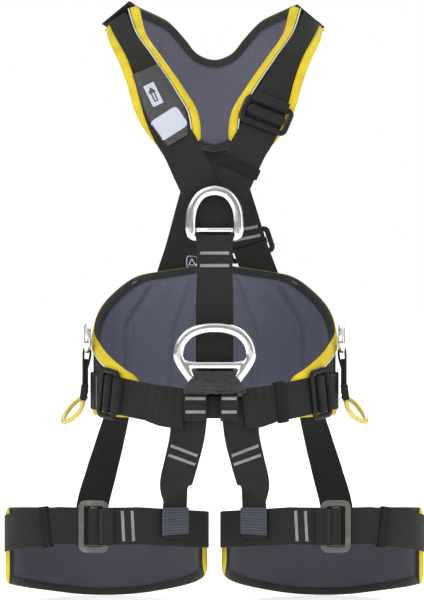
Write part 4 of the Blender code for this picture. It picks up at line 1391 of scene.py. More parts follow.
class HARNESS_OT_webbing(bpy.types.Operator):
    """Lays the shoulder, back, chest, belt and leg webbing"""

    bl_idname = "harness.webbing"
    bl_label = "Webbing"

    def execute(self, context):
        outer = smooth(front_strap_stations(-1, WEB_THICK + GAP + 0.0006))
        web("shoulder_webbing_left", outer, nodes=["shoulder_strap_left"])
        upper, lower, _ = divide(smooth(front_strap_stations(1, 0.0)), SHOULDER_BUCKLE_HEIGHT)
        web("shoulder_webbing_right_upper", upper, nodes=["shoulder_strap_right_upper"])
        web("shoulder_webbing_right_lower", lower, nodes=["shoulder_strap_right_lower"])
        web("dorsal_webbing_left", smooth(dorsal_stations(*BACK_STRAPS["left"])), nodes=["dorsal_strap_left"])
        upper, lower, _ = divide(smooth(dorsal_stations(*BACK_STRAPS["right"])), DORSAL_BUCKLE_HEIGHT)
        web("dorsal_webbing_right_upper", upper, nodes=["dorsal_strap_right_upper"])
        web("dorsal_webbing_right_lower", lower, nodes=["dorsal_strap_right_lower"])
        web("chest_webbing", smooth(chest_stations(), 0.003), nodes=["chest_strap"])
        web("dorsal_ring_webbing", smooth(dorsal_loop_stations(), 0.003), nodes=["dorsal_ring_loop"])
        back_end = BELT_BUCKLE_ANGLE - 0.35
        web("belt_webbing_back", smooth(belt_stations(-back_end, back_end)), nodes=["waist_belt_back"])
        patch = [
            station(*waist(degrees, FRONT_LAYERS["patch"], 0.249), 0.026)
            for degrees in degrees_between(160.0, 200.0, 4)
        ]
        web("belt_middle_patch", patch, nodes=["belt_centre_patch"])
        for name, side in SIDES:
            web(f"hip_ring_webbing_{name}", smooth(holder_stations(side), 0.003),
                nodes=[f"side_ring_holder_{name}"])
            web(f"belt_webbing_front_{name}", belt_front_stations(side), nodes=[f"belt_front_{name}"])
            before = leg_strap_stations(side, 60.0, LEG_BUCKLE_ANGLE - 0.45)
            after = leg_strap_stations(side, LEG_BUCKLE_ANGLE + 0.45, 290.0)
            web(f"leg_webbing_outer_{name}", smooth(before), nodes=[f"leg_strap_outer_{name}"])
            web(f"leg_webbing_inner_{name}", smooth(after), nodes=[f"leg_strap_inner_{name}"])
            web(f"riser_webbing_{name}", smooth(riser_stations(side)), nodes=[f"leg_riser_{name}"])
            web(f"rear_leg_webbing_{name}", smooth(rear_strap_stations(side)),
                nodes=[f"rear_leg_strap_{name}"])
        return {"FINISHED"}


# ---------------------------------------------------------------- rings and gear loops


RING_SECTION = section(16, 3.2)


def ring(name, half_path, axis, axes, body, node, step=0.003):
    frames = path_frames(both_sides(half_path), axis, axes, step)
    return tube(name, frames, RING_SECTION, "alloy", body, [node], closed=True, angle=60.0)


class HARNESS_OT_rings(bpy.types.Operator):
    """Forges the chest, belly, back and hip rings and the chest ring's pin"""

    bl_idname = "harness.rings"
    bl_label = "Rings"

    def execute(self, context):
        axis = Vector((0.0, RING_Y, STERNAL_HEIGHT))
        ring("chest_ring_forging", STERNAL, axis, (RIGHT, UP, FRONT), "chest_ring", "sternal_ring")
        pin = axis + UP * 0.0105
        turned_pin("chest_ring_pin", pin, 0.0218 - GAP, RING_PIN)
        self.belly_ring()
        ring("back_ring_forging", STERNAL, dorsal_axis()[1], (RIGHT, -UP, BACK), "back_ring", "dorsal_ring")
        for name, side in SIDES:
            axis, outward = hip_axis(side)
            axes = (UP.cross(outward).normalized(), UP, outward)
            ring(f"hip_ring_forging_{name}", HIP_RING, axis, axes, f"hip_ring_{name}", f"side_ring_{name}")
        return {"FINISHED"}

    def belly_ring(self):
        """The belly ring and its cross bar are run together and their joins rounded, as in one forging."""
        axis = Vector((0.0, VENTRAL_Y, VENTRAL_HEIGHT))
        frames = path_frames(both_sides(VENTRAL), axis, (RIGHT, UP, FRONT), 0.003)
        loop = tube("belly_ring_forging", frames, RING_SECTION, None, "belly_ring", closed=True)
        level = axis + UP * 0.0338
        bar_frames = []
        for k in range(25):
            x = 0.0385 * (k / 12 - 1)
            flare = 1.0 + 0.35 * max(0.0, abs(x) / 0.0385 - 0.6) / 0.4
            bar_frames.append((level + RIGHT * x, UP * 0.0045 * flare, FRONT * 0.0041))
        bar = tube("belly_ring_bar", bar_frames, RING_SECTION, None, "belly_ring")
        made = merged("belly_ring_forging", [bar, loop])
        modify(made, "REMESH", mode="VOXEL", voxel_size=0.0009, use_smooth_shade=True)
        modify(made, "SMOOTH", factor=0.6, iterations=6)
        settle(made, "alloy", "belly_ring", ["ventral_ring"], 60.0)
        bar_axis = axis + UP * 0.0075
        radius = ring_loop(0.0046) + 0.0006
        wide = 0.077
        rows = [
            station(axis - FRONT * 0.0016 + UP * 0.0005, -FRONT, wide, 0.0018),
            station(bar_axis - FRONT * radius - UP * 0.001, -FRONT, wide * 0.93, 0.0018),
            station(bar_axis - FRONT * radius + UP * 0.008, -FRONT, 0.060, 0.0018),
        ]
        for point, outward in fold(axis + UP * 0.0225, radius * 0.66, FRONT, UP, 4):
            rows.append(station(point, outward, 0.0475, 0.0018))
        rows.append(station(bar_axis + FRONT * radius + UP * 0.008, FRONT, 0.060, 0.0018))
        rows.append(station(bar_axis + FRONT * radius - UP * 0.001, FRONT, wide * 0.93, 0.0018))
        rows.append(station(axis + FRONT * 0.0016 + UP * 0.0005, FRONT, wide, 0.0018))
        sleeve = web("belly_ring_sleeve", smooth(rows, 0.0018), "sleeve", "belly_ring",
                     ["ventral_loop_sleeve"], columns=30)
        crease(sleeve)


def crease(made):
    """Pulls a sleeve into the small cross creases of cloth under load."""
    for vertex in made.data.vertices:
        x, z = vertex.co.x, vertex.co.z
        wave = math.sin(z * 1300 + 3.0 * math.sin(x * 170)) * math.sin(x * 260 + 2.2 * math.sin(z * 420))
        vertex.co += vertex.normal * 0.0007 * wave
    made.data.update()


def turned_pin(name, middle, reach, radius):
    """A turned pin with chamfered ends, from a cylinder."""
    place = middle - LOWER
    bpy.ops.object.select_all(action="DESELECT")
    bpy.ops.mesh.primitive_cylinder_add(
        vertices=40, radius=radius, depth=2 * reach, location=place, rotation=(0, math.pi / 2, 0),
    )
    made = bpy.context.object
    made.name = made.data.name = name
    only(made)
    bpy.ops.object.transform_apply(location=True, rotation=True, scale=True)
    modify(made, "BEVEL", width=0.0007, segments=3, limit_method="ANGLE", angle_limit=math.radians(50))
    return settle(made, "steel", "chest_ring", ["sternal_ring_pin"])


class HARNESS_OT_gear_loops(bpy.types.Operator):
    """Moulds the two gear loops and the cuffs that they are sewn in with"""

    bl_idname = "harness.gear_loops"
    bl_label = "Gear loops"

    def execute(self, context):
        outer = WAIST_HALF_WIDTH + layer(1) + GEAR_TUBE
        first = GEAR_PATH[0][0]
        for name, side in SIDES:
            places = [mirror((x - first + outer + 0.0022, y, z), side) for x, y, z in GEAR_PATH]
            curve = [Vector(row) for row in smooth(places, 0.004)]
            frames = curve_frames(curve, GEAR_TUBE * 0.97)
            body = f"gear_loop_{name}"
            tube(f"gear_tube_{name}", frames, section(14), "gear", body, [body])
            for label, end in (("front", frames[:2]), ("back", frames[-2:])):
                grown = [(p, a * 1.22, o * 1.22) for p, a, o in end]
                tube(f"gear_cuff_{label}_{name}", grown, section(14), "elastic", body)
        return {"FINISHED"}


# ---------------------------------------------------------------- adjusters and keepers


def bar(name, place, along, across, outward, size, finish, body, nodes=()):
    """A bar with rounded edges from a cube, its size given along, across and outward."""
    middle = place - LOWER
    bpy.ops.object.select_all(action="DESELECT")
    bpy.ops.mesh.primitive_cube_add(size=1.0, location=(0, 0, 0))
    made = bpy.context.object
    made.name = made.data.name = name
    made.scale = (size[1], size[0], size[2])
    only(made)
    bpy.ops.object.transform_apply(location=False, rotation=False, scale=True)
    modify(made, "BEVEL", width=min(size[0], size[2]) * 0.24, segments=3, limit_method="ANGLE",
           angle_limit=math.radians(55))
    for vertex in made.data.vertices:
        vertex.co = middle + across * vertex.co.x + along * vertex.co.y + outward * vertex.co.z
    made.data.update()
    in_edit(made, (bpy.ops.mesh.normals_make_consistent, {"inside": False}))
    return settle(made, finish, body, nodes)


def wrap(name, place, along, outward, half, rise, width, body):
    """Webbing rolled over a bar: half a turn over its outer side with both tails tucked under."""
    rows = []
    for k in range(25):
        angle = math.radians(-38 + 256 * k / 24)
        c, s = math.cos(angle), math.sin(angle)
        x = math.copysign(abs(c) ** 0.7, c) * half
        y = math.copysign(abs(s) ** 0.7, s) * rise
        rows.append(station(place + along * x + outward * y, along * c + outward * s, width))
    return web(name, rows, body=body, columns=6)


ROLL_HALF = 0.0050           # half width of the webbing rolled round a slide bar
ROLL_RISE = 0.0042
END_ROLL_HALF = 0.0052       # half width of the webbing rolled round an end bar
END_ROLL_SHIFT = 0.0024
SLIT_PLACE = 0.0080


def adjuster(name, place, finish, body, rolled=-1, extra=0.0):
    """A forged frame with rounded bars, a bar that slides in it and the webbing rolled round that bar."""
    middle, along, across, outward = place
    lift = WEB_THICK / 2 + GAP + BUCKLE_THICK / 2 + extra
    seat = middle + outward * lift
    inner = WEB_WIDTH + 2 * BUCKLE_CLEAR
    size = (BUCKLE_LENGTH - BUCKLE_BAR, inner + BUCKLE_BAR)
    path = rounded_path(*size, BUCKLE_CORNER, BUCKLE_BAR / 2, BUCKLE_THICK / 2)
    frames = path_frames(path, seat, (along, across, outward))
    tube(f"{name}_forging", frames, section(12, 3.4), finish, closed=True, nodes=[f"{name}_frame"])
    reach = 2 * (inner / 2 - GAP)
    bar(f"{name}_bar", seat, along, across, outward, (SLIDE_BAR, reach, BUCKLE_THICK * 0.8), finish, body,
        [f"{name}_slide_bar"])
    wide = WEB_WIDTH - 0.0006
    wrap(f"{name}_roll", seat, along, outward, ROLL_HALF, ROLL_RISE, wide, body)
    end = seat + along * rolled * ((BUCKLE_LENGTH - BUCKLE_BAR) / 2 + END_ROLL_SHIFT)
    wrap(f"{name}_edge_roll", end, along, outward, END_ROLL_HALF, ROLL_RISE + 0.0004, wide, "harness")


BAND_WALL = 0.0017           # thickness of a keeper's elastic


def keeper(name, place, body, node):
    """An elastic band round a strap, a little bowed where it crosses the webbing."""
    middle, along, across, outward = place
    path = rounded_path(
        WEB_WIDTH + 2 * KEEPER_CLEAR + BAND_WALL, WEB_THICK + 2 * KEEPER_CLEAR + BAND_WALL, 0.0014,
        BAND_WALL / 2, KEEPER_LENGTH / 2, 4,
    )
    frames = path_frames(path, middle, (across, outward, along))
    return tube(name, frames, section(16, 2.8), "elastic", body, [node], closed=True)


class HARNESS_OT_adjusters(bpy.types.Operator):
    """Makes the six adjusters, the four elastic keepers and the plate on the back"""

    bl_idname = "harness.adjusters"
    bl_label = "Adjusters"

    def execute(self, context):
        front = smooth(front_strap_stations(1, 0.0), 0.011)
        place = divide(front, SHOULDER_BUCKLE_HEIGHT)[2]
        adjuster("shoulder_buckle", place, "buckle", "shoulder_slide_bar", extra=0.0012)
        keeper("shoulder_keeper_band", frame_at(front, 0.534)[1], "shoulder_keeper", "shoulder_strap_keeper")
        crossing = smooth(dorsal_stations(*BACK_STRAPS["right"]), 0.011)
        place = divide(crossing, DORSAL_BUCKLE_HEIGHT)[2]
        adjuster("dorsal_buckle", place, "buckle", "dorsal_slide_bar")
        keeper("belt_keeper_band", frame_on(belt_place, KEEPER_ANGLE), "belt_keeper", "belt_keeper")
        for name, side in SIDES:
            place = frame_on(belt_place, side * BELT_BUCKLE_ANGLE)
            adjuster(f"belt_buckle_{name}", place, "buckle", f"belt_slide_bar_{name}")
            on_leg = functools.partial(leg_strap_place, side)
            place = frame_on(on_leg, LEG_BUCKLE_ANGLE)
            adjuster(f"leg_buckle_{name}", place, "leg_buckle", f"leg_slide_bar_{name}", rolled=1)
            self.slit(name, place)
            keeper(f"leg_keeper_band_{name}", frame_on(on_leg, LEG_KEEPER_ANGLE), f"leg_keeper_{name}",
                   f"leg_keeper_{name}")
        self.back_plate()
        return {"FINISHED"}

    def slit(self, name, place):
        """The strip of lining that shows between the two rolls of a leg adjuster."""
        middle, along, across, outward = place
        centre = middle + along * SLIT_PLACE + outward * (WEB_THICK / 2 + 0.0004)
        rows = [station(centre + across * x, outward, 0.0054, 0.0006) for x in (-0.0205, 0.0, 0.0205)]
        web(f"leg_slit_{name}", smooth(rows), "leg_lining")

    def back_plate(self):
        """The moulded plate behind the back ring: an eight sided block with its rim and corners rounded."""
        depth = dorsal_axis()[0]
        middle = Vector((0, depth + PLATE_THICK / 2, CROSS_HEIGHT + 0.004)) - LOWER
        bpy.ops.object.select_all(action="DESELECT")
        bpy.ops.mesh.primitive_cylinder_add(
            vertices=8, radius=PLATE_HALF * 1.082, depth=PLATE_THICK, location=middle,
            rotation=(math.pi / 2, math.radians(22.5), 0),
        )
        made = bpy.context.object
        made.name = made.data.name = "dorsal_plate_moulding"
        only(made)
        bpy.ops.object.transform_apply(location=True, rotation=True, scale=True)
        modify(made, "BEVEL", width=0.0012, segments=3, limit_method="ANGLE", angle_limit=math.radians(30))
        settle(made, "plate", "harness", ["dorsal_plate"])


# ---------------------------------------------------------------- sewing


SHOULDER_BUCKLE_HEIGHT = 0.595
DORSAL_BUCKLE_HEIGHT = 0.4475


TACK_SPAN = 0.034            # width of most bar tacks
STITCH_STEP = 0.0006


def thread_line(name, places, outward):
    """Sewing thread along places, half sunk in the webbing."""
    frames = curve_frames(places, bpy.context.scene.harness_sizes.thread, outward)
    return tube(name, frames, section(5), "thread", angle=70.0)


def bar_tack(name, place, span, slant=0.0, lift=WEB_THICK / 2):
    """A close zigzag of thread across a strap, over a solid core."""
    middle, along, across, outward = place
    width = bpy.context.scene.harness_sizes.tack_width
    lean = math.radians(slant)
    run = across * math.cos(lean) + along * math.sin(lean)
    side = along * math.cos(lean) - across * math.sin(lean)
    stitches = max(6, round(span / STITCH_STEP))
    centre = middle + outward * (lift + 0.00022)
    places = [
        centre + run * span * (k / stitches - 0.5) + side * (width / 2 if k % 2 else -width / 2)
        for k in range(stitches + 1)
    ]
    zigzag = thread_line(name, places, outward)
    low = centre - outward * 0.0002
    core = [
        (low + run * span * share, side * width * 0.46, outward * 0.0004)
        for share in (-0.5, -0.25, 0, 0.25, 0.5)
    ]
    return merged(name, [tube(f"{name}_core", core, section(10, 3.0), "thread"), zigzag])


def inner_place(rows, height):
    """A place on a strap's curve at a height, on the side that faces the body."""
    middle, along, across, outward = frame_at(rows, height)[1]
    return middle, along, -across, -outward


class HARNESS_OT_sewing(bpy.types.Operator):
    """Sews the bar tacks, the ribbed sleeves of the risers and the pleat and wing stitching"""

    bl_idname = "harness.sewing"
    bl_label = "Sewing"

    def execute(self, context):
        chest_rows = smooth(chest_stations()[-7:], 0.006)
        for number, height in enumerate((0.4320, 0.4170)):
            place = frame_at(chest_rows, height)[1]
            bar_tack(f"chest_tack_{number}", place, TACK_SPAN)
        rear = smooth(dorsal_stations(*BACK_STRAPS["right"]))
        for number, height in enumerate((0.4680, 0.4565)):
            bar_tack(f"dorsal_tack_{number}", inner_place(rear, height), TACK_SPAN, slant=-6.0)
        for name, side in SIDES:
            riser = smooth(riser_stations(side))
            for number, height in enumerate((0.1975, 0.1865)):
                place = frame_at(riser, height)[1]
                bar_tack(f"riser_tack_{name}_{number}", place, TACK_SPAN, slant=side * 6.0)
            self.riser_tab(name, side)
            self.riser_sleeve(name, riser)
            self.leg_tacks(name, side)
            self.wing_stitches(name, side)
            self.hip_tab(name, side)
            point, outward = waist(side * 46.0, -(PAD_THICK / 2 + 0.0012), waist_edges(46.0)[1] - 0.0030)
            slope = (waist(side * 49.0, 0.0, waist_edges(49.0)[1])[0]
                     - waist(side * 43.0, 0.0, waist_edges(43.0)[1])[0]).normalized()
            places = [point + slope * x for x in (-0.0045, 0.0, 0.0045)]
            thread_line(f"binding_stitch_{name}", places, -outward)
            for number, height in enumerate((0.292, 0.284)):
                rows = holder_stations(side)[-2:]
                middle = Vector(rows[0][:3]).lerp(Vector(rows[1][:3]), (0.288 - height) / 0.026 + 0.2)
                outward = Vector(rows[0][3:6])
                along = -UP
                place = (middle, along, along.cross(outward).normalized(), outward)
                bar_tack(f"hip_tack_{name}_{number}", place, 0.030)
        loop = dorsal_loop_stations()
        for number, share in enumerate((0.25, 0.75)):
            middle = Vector(loop[-2][:3]).lerp(Vector(loop[-1][:3]), share)
            bar_tack(f"dorsal_ring_tack_{number}", (middle, UP, UP.cross(BACK).normalized(), BACK), 0.032)
        return {"FINISHED"}

    def hip_tab(self, name, side):
        """The stiff tab sewn between the two layers of the webbing that holds a hip ring."""
        rows = holder_stations(side)
        base = (Vector(rows[0][:3]) + Vector(rows[-1][:3])) / 2
        outward = hip_axis(side)[1]
        stations = [
            station(Vector((base.x, base.y, z)), outward, 0.037, thick)
            for z, thick in ((0.3035, 0.0050), (0.290, 0.0050), (0.262, 0.0050))
        ]
        web(f"hip_tab_{name}", smooth(stations), "elastic", thick=0.0068)
        start = mirror(GEAR_PATH[0], side) + RIGHT * side * 0.0046
        away = RIGHT * side
        tab = [station(start + UP * z - away * z * 0.12, away, 0.0165) for z in (0.016, 0.006, -0.002)]
        web(f"gear_tab_{name}", smooth(tab), thick=0.0082)

    def riser_tab(self, name, side):
        """The webbing tab folded over the belt's middle, with its two bar tacks."""
        centre = -0.0228 if side < 0 else 0.0172
        width = 0.0265 if side < 0 else 0.0205
        rows = []
        top = FRONT_LAYERS["belt"] + WEB_THICK + 0.0004
        depth = WAIST_HALF_DEPTH * math.sqrt(1 - (centre / WAIST_HALF_WIDTH) ** 2)
        levels = ((0.2690, -0.0010), (0.2640, 0.0), (0.2520, 0.0), (0.2400, 0.0), (0.2330, -0.0012))
        for height, out in levels:
            rows.append(station((centre, -depth - top - out, height), FRONT, width, 0.0018))
        rows = smooth(rows)
        web(f"riser_tab_{name}", rows)
        for number, height in enumerate((0.2600, 0.2440)):
            place = frame_at(rows, height)[1]
            bar_tack(f"tab_tack_{name}_{number}", place, width - 0.003, lift=0.0009)

    def riser_sleeve(self, name, riser):
        """A ribbed sleeve round the foot of a riser, over the leg strap."""
        rows = []
        for row in riser:
            if 0.094 < row[2] < 0.131:
                rows.append(row)
        places = [Vector(row[:3]) for row in rows]
        dense = smooth([(*p, *row[3:8]) for p, row in zip(places, rows)], 0.0009)
        ribbed = []
        for number, row in enumerate(dense):
            outward = Vector(row[3:6]).normalized()
            rib = 0.0005 * math.sin(number * 2 * math.pi / 3)
            place = Vector(row[:3]) + outward * (WEB_THICK / 2 + 0.0012 + rib)
            ribbed.append(station(place, outward, row[6] + 0.003, 0.0014))
        web(f"riser_sleeve_{name}", ribbed, "ribbed")

    def leg_tacks(self, name, side):
        """Two bar tacks up and down beside the leg adjuster, joined along their lower ends."""
        for number, degrees in enumerate((191.0, 196.5)):
            middle, outward = leg_strap_place(side, degrees)
            ahead = leg_strap_place(side, degrees + 1)[0]
            along = (ahead - middle).normalized()
            place = (middle, along, along.cross(outward).normalized(), outward)
            bar_tack(f"leg_tack_{name}_{number}", place, 0.036, slant=3.0)

    def wing_stitches(self, name, side):
        """Pale stitch lines on the belt webbing over the hip wing."""
        for number, (degrees, low, high) in enumerate(((110.0, 0.2470, 0.2830), (113.0, 0.2470, 0.2620))):
            point, outward = waist(side * degrees, layer(0) + WEB_THICK / 2 + 0.0002, low)
            place = [point + UP * (high - low) * k / 8 for k in range(9)]
            thread_line(f"wing_stitch_{name}_{number}", place, outward)


# ---------------------------------------------------------------- labels


def tree_of(item):
    mesh = item.data
    return BVHTree.FromPolygons([v.co for v in mesh.vertices], [tuple(p.vertices) for p in mesh.polygons])


def pressed(item, surface, lift):
    """Moves a panel's vertices back along Y until they lie on a surface, or level with its nearest edge."""
    for vertex in item.data.vertices:
        hit = surface.ray_cast(vertex.co, BACK)[0]
        if hit is None:
            hit = surface.find_nearest(Vector((vertex.co.x, -0.11, vertex.co.z)))[0]
        vertex.co.y = hit.y - lift
    item.data.update()


PANEL_COLUMNS = 14
PANEL_ROWS = 18


def panel(name, centre, size, turn, corner=0.25, pointed=False):
    """A flat panel with rounded corners, as a grid, facing the front at y -0.5."""
    c, s = math.cos(math.radians(turn)), math.sin(math.radians(turn))
    reach = min(size) * corner
    points = []
    for r in range(PANEL_ROWS + 1):
        v = r / PANEL_ROWS * 2 - 1
        line = []
        for k in range(PANEL_COLUMNS + 1):
            u = k / PANEL_COLUMNS * 2 - 1
            x, z = u * size[0] / 2 * ((1 - v) / 2 if pointed else 1), v * size[1] / 2
            over_x, over_z = abs(x) - (size[0] / 2 - reach), abs(z) - (size[1] / 2 - reach)
            if over_x > 0 and over_z > 0:
                pull = reach / max(math.hypot(over_x, over_z), reach)
                x = math.copysign(size[0] / 2 - reach + over_x * pull, x)
                z = math.copysign(size[1] / 2 - reach + over_z * pull, z)
            line.append((centre[0] + x * c - z * s, -0.5, centre[1] + x * s + z * c))
        points.append(line)
    return laid_grid(name, points)


def close_panel(made, thickness, finish):
    modify(made, "SOLIDIFY", thickness=thickness, offset=0.0)
    in_edit(made, (bpy.ops.mesh.normals_make_consistent, {"inside": False}))
    return settle(made, finish)


COVER_INNER = 0.0138         # from the pad's inner edge to the cover
COVER_OUTER = 0.0088
COVER_COLUMNS = 28
COVER_ROWS = 30
COVER_TOP = ((-0.0976, 0.6458), (-0.0713, 0.6578))
COVER_FOOT = ((-0.0613, 0.5553), (-0.0259, 0.5762))


def on_line(ends, x):
    """Height of the straight line through two (x, height) places."""
    (left, low), (right, high) = ends
    return low + (high - low) * (x - left) / (right - left)


def cut(places):
    """The part of a line of places that lies between the cover's foot and its top."""
    def room(place):
        return min(on_line(COVER_TOP, place.x) - place.z, place.z - on_line(COVER_FOOT, place.x))

    kept = []
    for first, second in zip(places, places[1:]):
        here, there = room(first), room(second)
        if here > 0:
            kept.append(first)
        if here * there < 0:
            kept.append(first.lerp(second, here / (here - there)))
    return kept


class HARNESS_OT_labels(bpy.types.Operator):
    """Sews the label cover and its plain printed panels on the left shoulder pad"""

    bl_idname = "harness.labels"
    bl_label = "Labels"

    def execute(self, context):
        surface = tree_of(self.cover())
        name_place, name_turn = (-0.0541, 0.5860), 33.0
        self.stick("name_panel", name_place, (0.0378, 0.0276), name_turn, surface, 0.0002, corner=0.2)
        place, turn = (-0.0730, 0.6213), 26.0
        upward = Vector((-math.sin(math.radians(turn)), math.cos(math.radians(turn))))
        middle = Vector(place)
        self.stick("arrow_panel", place, (0.0136, 0.0280), turn, surface, 0.0002, corner=0.06)
        dark = {"finish": "label_cloth", "thickness": 0.0002, "corner": 0.0}
        self.stick("arrow_head", middle + upward * 0.0062, (0.0092, 0.0074), turn, surface, 0.0006,
                   pointed=True, **dark)
        self.stick("arrow_shaft", middle - upward * 0.0032, (0.0050, 0.0118), turn, surface, 0.0006, **dark)
        self.stick("arrow_slot", middle - upward * 0.0030, (0.0020, 0.0096), turn, surface, 0.0010,
                   corner=0.0)
        self.mark()
        return {"FINISHED"}

    def stick(self, name, centre, size, turn, surface, lift, finish="label", thickness=0.0003, **shape):
        """One panel pressed on a surface."""
        made = panel(name, centre, size, turn, **shape)
        pressed(made, surface, lift)
        close_panel(made, thickness, finish)

    def cover(self):
        """A coated cloth cover over the left shoulder webbing, cut square to the strap at both ends."""
        frames = edge_frames(shoulder_rows(-1), 2.0, 0.002)
        columns = []
        for k in range(COVER_COLUMNS + 1):
            share = k / COVER_COLUMNS
            crown = max(0.0, 1 - abs(2 * share - 1) ** 9) ** 0.7
            depth = PAD_THICK / 2 + 0.0012 + crown * 0.0046
            column = []
            for middle, across, outward in frames:
                x = (2 * across.length - COVER_INNER - COVER_OUTER) * share + COVER_INNER - across.length
                column.append(middle + across.normalized() * x + outward * depth)
            columns.append(cut(column))
        points = []
        for row in range(COVER_ROWS + 1):
            line = []
            for column in columns:
                at = row / COVER_ROWS * (len(column) - 1)
                first = min(int(at), len(column) - 2)
                line.append(column[first].lerp(column[first + 1], at - first))
            points.append(line)
        made = laid_grid("label_cover", points)
        return close_panel(made, 0.0008, "label_cloth")

    def mark(self):
        """A pale rounded frame with a plain triangle in it, stitched on the strap behind the chest ring."""
        rear = smooth(dorsal_stations(*BACK_STRAPS["left"]))
        middle, _, across, outward = inner_place(rear, 0.4300)
        shift = (-0.0290 - middle.x) / across.x
        middle = middle + across * shift + outward * (WEB_THICK / 2 + 0.0003)
        upright = outward.cross(RIGHT).normalized()
        upright = upright if upright.z > 0 else -upright
        frames = path_frames(rounded_path(0.0132, 0.0150, 0.0032, 0.0006, 0.0003), middle,
                             (RIGHT, upright, outward))
        tube("strap_mark_frame", frames, section(8, 3.0), "label", closed=True)
        corners = [(0.0, 0.0042), (0.0042, -0.0040), (-0.0042, -0.0040)]
        path = [(u, v, 0.0006, 0.0003) for u, v in corners]
        dense = []
        for (u, v, a, b), (m, n, _, _) in zip(path, path[1:] + path[:1]):
            dense += [(u + (m - u) * k / 6, v + (n - v) * k / 6, a, b) for k in range(6)]
        frames = path_frames(dense, middle, (RIGHT, upright, outward))
        tube("strap_mark_triangle", frames, section(8, 3.0), "label", closed=True)


# ---------------------------------------------------------------- stage


CAMERA_DISTANCE = 3.0
CAMERA_HEIGHT = 0.3764 - WAIST_HEIGHT
CAMERA_LENS = 145.8
FLOOR_SIZE = 120.0


def lamp(name, place, target, size, power):
    light = bpy.data.lights.new(name, "AREA")
    light.shape = "RECTANGLE"
    light.size, light.size_y = size
    light.energy = power
    item = bpy.data.objects.new(name, light)
    bpy.context.scene.collection.objects.link(item)
    item.location = place
    item.rotation_mode = "QUATERNION"
    item.rotation_quaternion = (Vector(target) - Vector(place)).to_track_quat("-Z", "Y")
    return item


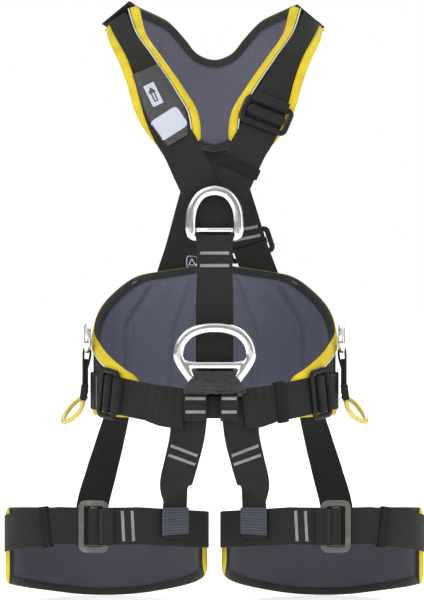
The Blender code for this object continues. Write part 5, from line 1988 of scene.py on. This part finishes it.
class HARNESS_OT_stage(bpy.types.Operator):
    """Sets the camera, a plain pale floor and soft studio light"""

    bl_idname = "harness.stage"
    bl_label = "Stage"

    def studio(self):
        """A white backdrop that lights the object only softly, brighter from above."""
        world = bpy.data.worlds.new("studio")
        world.use_nodes = True
        tree = world.node_tree
        output = tree.nodes["World Output"]
        backdrop = tree.nodes["Background"]
        backdrop.inputs["Color"].default_value = (1.0, 1.0, 1.0, 1.0)
        backdrop.inputs["Strength"].default_value = 1.0
        place = tree.nodes.new("ShaderNodeTexCoord")
        split = tree.nodes.new("ShaderNodeSeparateXYZ")
        ramp = tree.nodes.new("ShaderNodeValToRGB")
        ramp.color_ramp.elements[0].position = 0.0
        ramp.color_ramp.elements[0].color = (0.20, 0.20, 0.21, 1.0)
        ramp.color_ramp.elements[1].position = 0.75
        ramp.color_ramp.elements[1].color = (0.95, 0.95, 0.95, 1.0)
        glow = tree.nodes.new("ShaderNodeBackground")
        rays = tree.nodes.new("ShaderNodeLightPath")
        both = tree.nodes.new("ShaderNodeMixShader")
        tree.links.new(place.outputs["Generated"], split.inputs[0])
        tree.links.new(split.outputs["Z"], ramp.inputs[0])
        tree.links.new(ramp.outputs["Color"], glow.inputs["Color"])
        tree.links.new(rays.outputs["Is Camera Ray"], both.inputs[0])
        tree.links.new(glow.outputs[0], both.inputs[1])
        tree.links.new(backdrop.outputs[0], both.inputs[2])
        tree.links.new(both.outputs[0], output.inputs["Surface"])
        return world

    def execute(self, context):
        scene = context.scene
        data = bpy.data.cameras.new("camera")
        data.sensor_width = 36.0
        data.lens = CAMERA_LENS
        camera = bpy.data.objects.new("camera", data)
        scene.collection.objects.link(camera)
        camera.location = (-0.0031, -CAMERA_DISTANCE, CAMERA_HEIGHT)
        camera.rotation_mode = "QUATERNION"
        camera.rotation_quaternion = BACK.to_track_quat("-Z", "Y")
        scene.camera = camera
        bpy.ops.object.select_all(action="DESELECT")
        bpy.ops.mesh.primitive_plane_add(size=FLOOR_SIZE, location=(0, 0, -WAIST_HEIGHT - 0.0005))
        floor = context.object
        floor.name = "floor"
        finish = Finish("stage_floor", 0.8, Emission_Color=(1.0, 1.0, 1.0, 1.0), Emission_Strength=0.5)
        tone = finish.noise(3.0, 2.0)
        finish.feed(Base_Color=finish.mix(finish.limit(tone), (0.90, 0.90, 0.90), (0.94, 0.94, 0.94)))
        floor.data.materials.append(finish.material)
        scene.world = self.studio()
        scene.view_settings.view_transform = "Standard"
        middle = (0.0, 0.0, 0.05)
        lamp("key_light", (-1.6, -2.6, 2.1), middle, (2.2, 2.2), 58.0)
        lamp("fill_light", (2.2, -2.0, 0.9), middle, (1.4, 2.4), 22.0)
        lamp("rim_light", (0.6, 2.2, 1.6), middle, (1.8, 1.0), 24.0)
        return {"FINISHED"}


# ---------------------------------------------------------------- add-on


STEPS = (
    HARNESS_OT_stage, HARNESS_OT_pads, HARNESS_OT_edges, HARNESS_OT_webbing, HARNESS_OT_rings,
    HARNESS_OT_gear_loops, HARNESS_OT_adjusters, HARNESS_OT_sewing, HARNESS_OT_labels,
)


class HARNESS_PT_panel(bpy.types.Panel):
    """Lists the harness's sizes, colours and pieces"""

    bl_label = "Harness"
    bl_idname = "HARNESS_PT_panel"
    bl_space_type = "VIEW_3D"
    bl_region_type = "UI"
    bl_category = "Harness"

    def draw(self, context):
        for group in (context.scene.harness_sizes, context.scene.harness_colours):
            box = self.layout.box()
            for name in group.bl_rna.properties.keys():
                if name not in {"rna_type", "name"}:
                    box.prop(group, name)
        for step in STEPS:
            self.layout.operator(step.bl_idname)


CLASSES = (HarnessSizes, HarnessColours, *STEPS, HARNESS_PT_panel)


def register():
    for item in CLASSES:
        bpy.utils.register_class(item)
    bpy.types.Scene.harness_sizes = bpy.props.PointerProperty(type=HarnessSizes)
    bpy.types.Scene.harness_colours = bpy.props.PointerProperty(type=HarnessColours)


def unregister():
    del bpy.types.Scene.harness_colours
    del bpy.types.Scene.harness_sizes
    for item in reversed(CLASSES):
        bpy.utils.unregister_class(item)


def main():
    register()
    for step in STEPS:
        group, operator = step.bl_idname.split(".")
        getattr(getattr(bpy.ops, group), operator)()


if __name__ == "__main__":
    main()
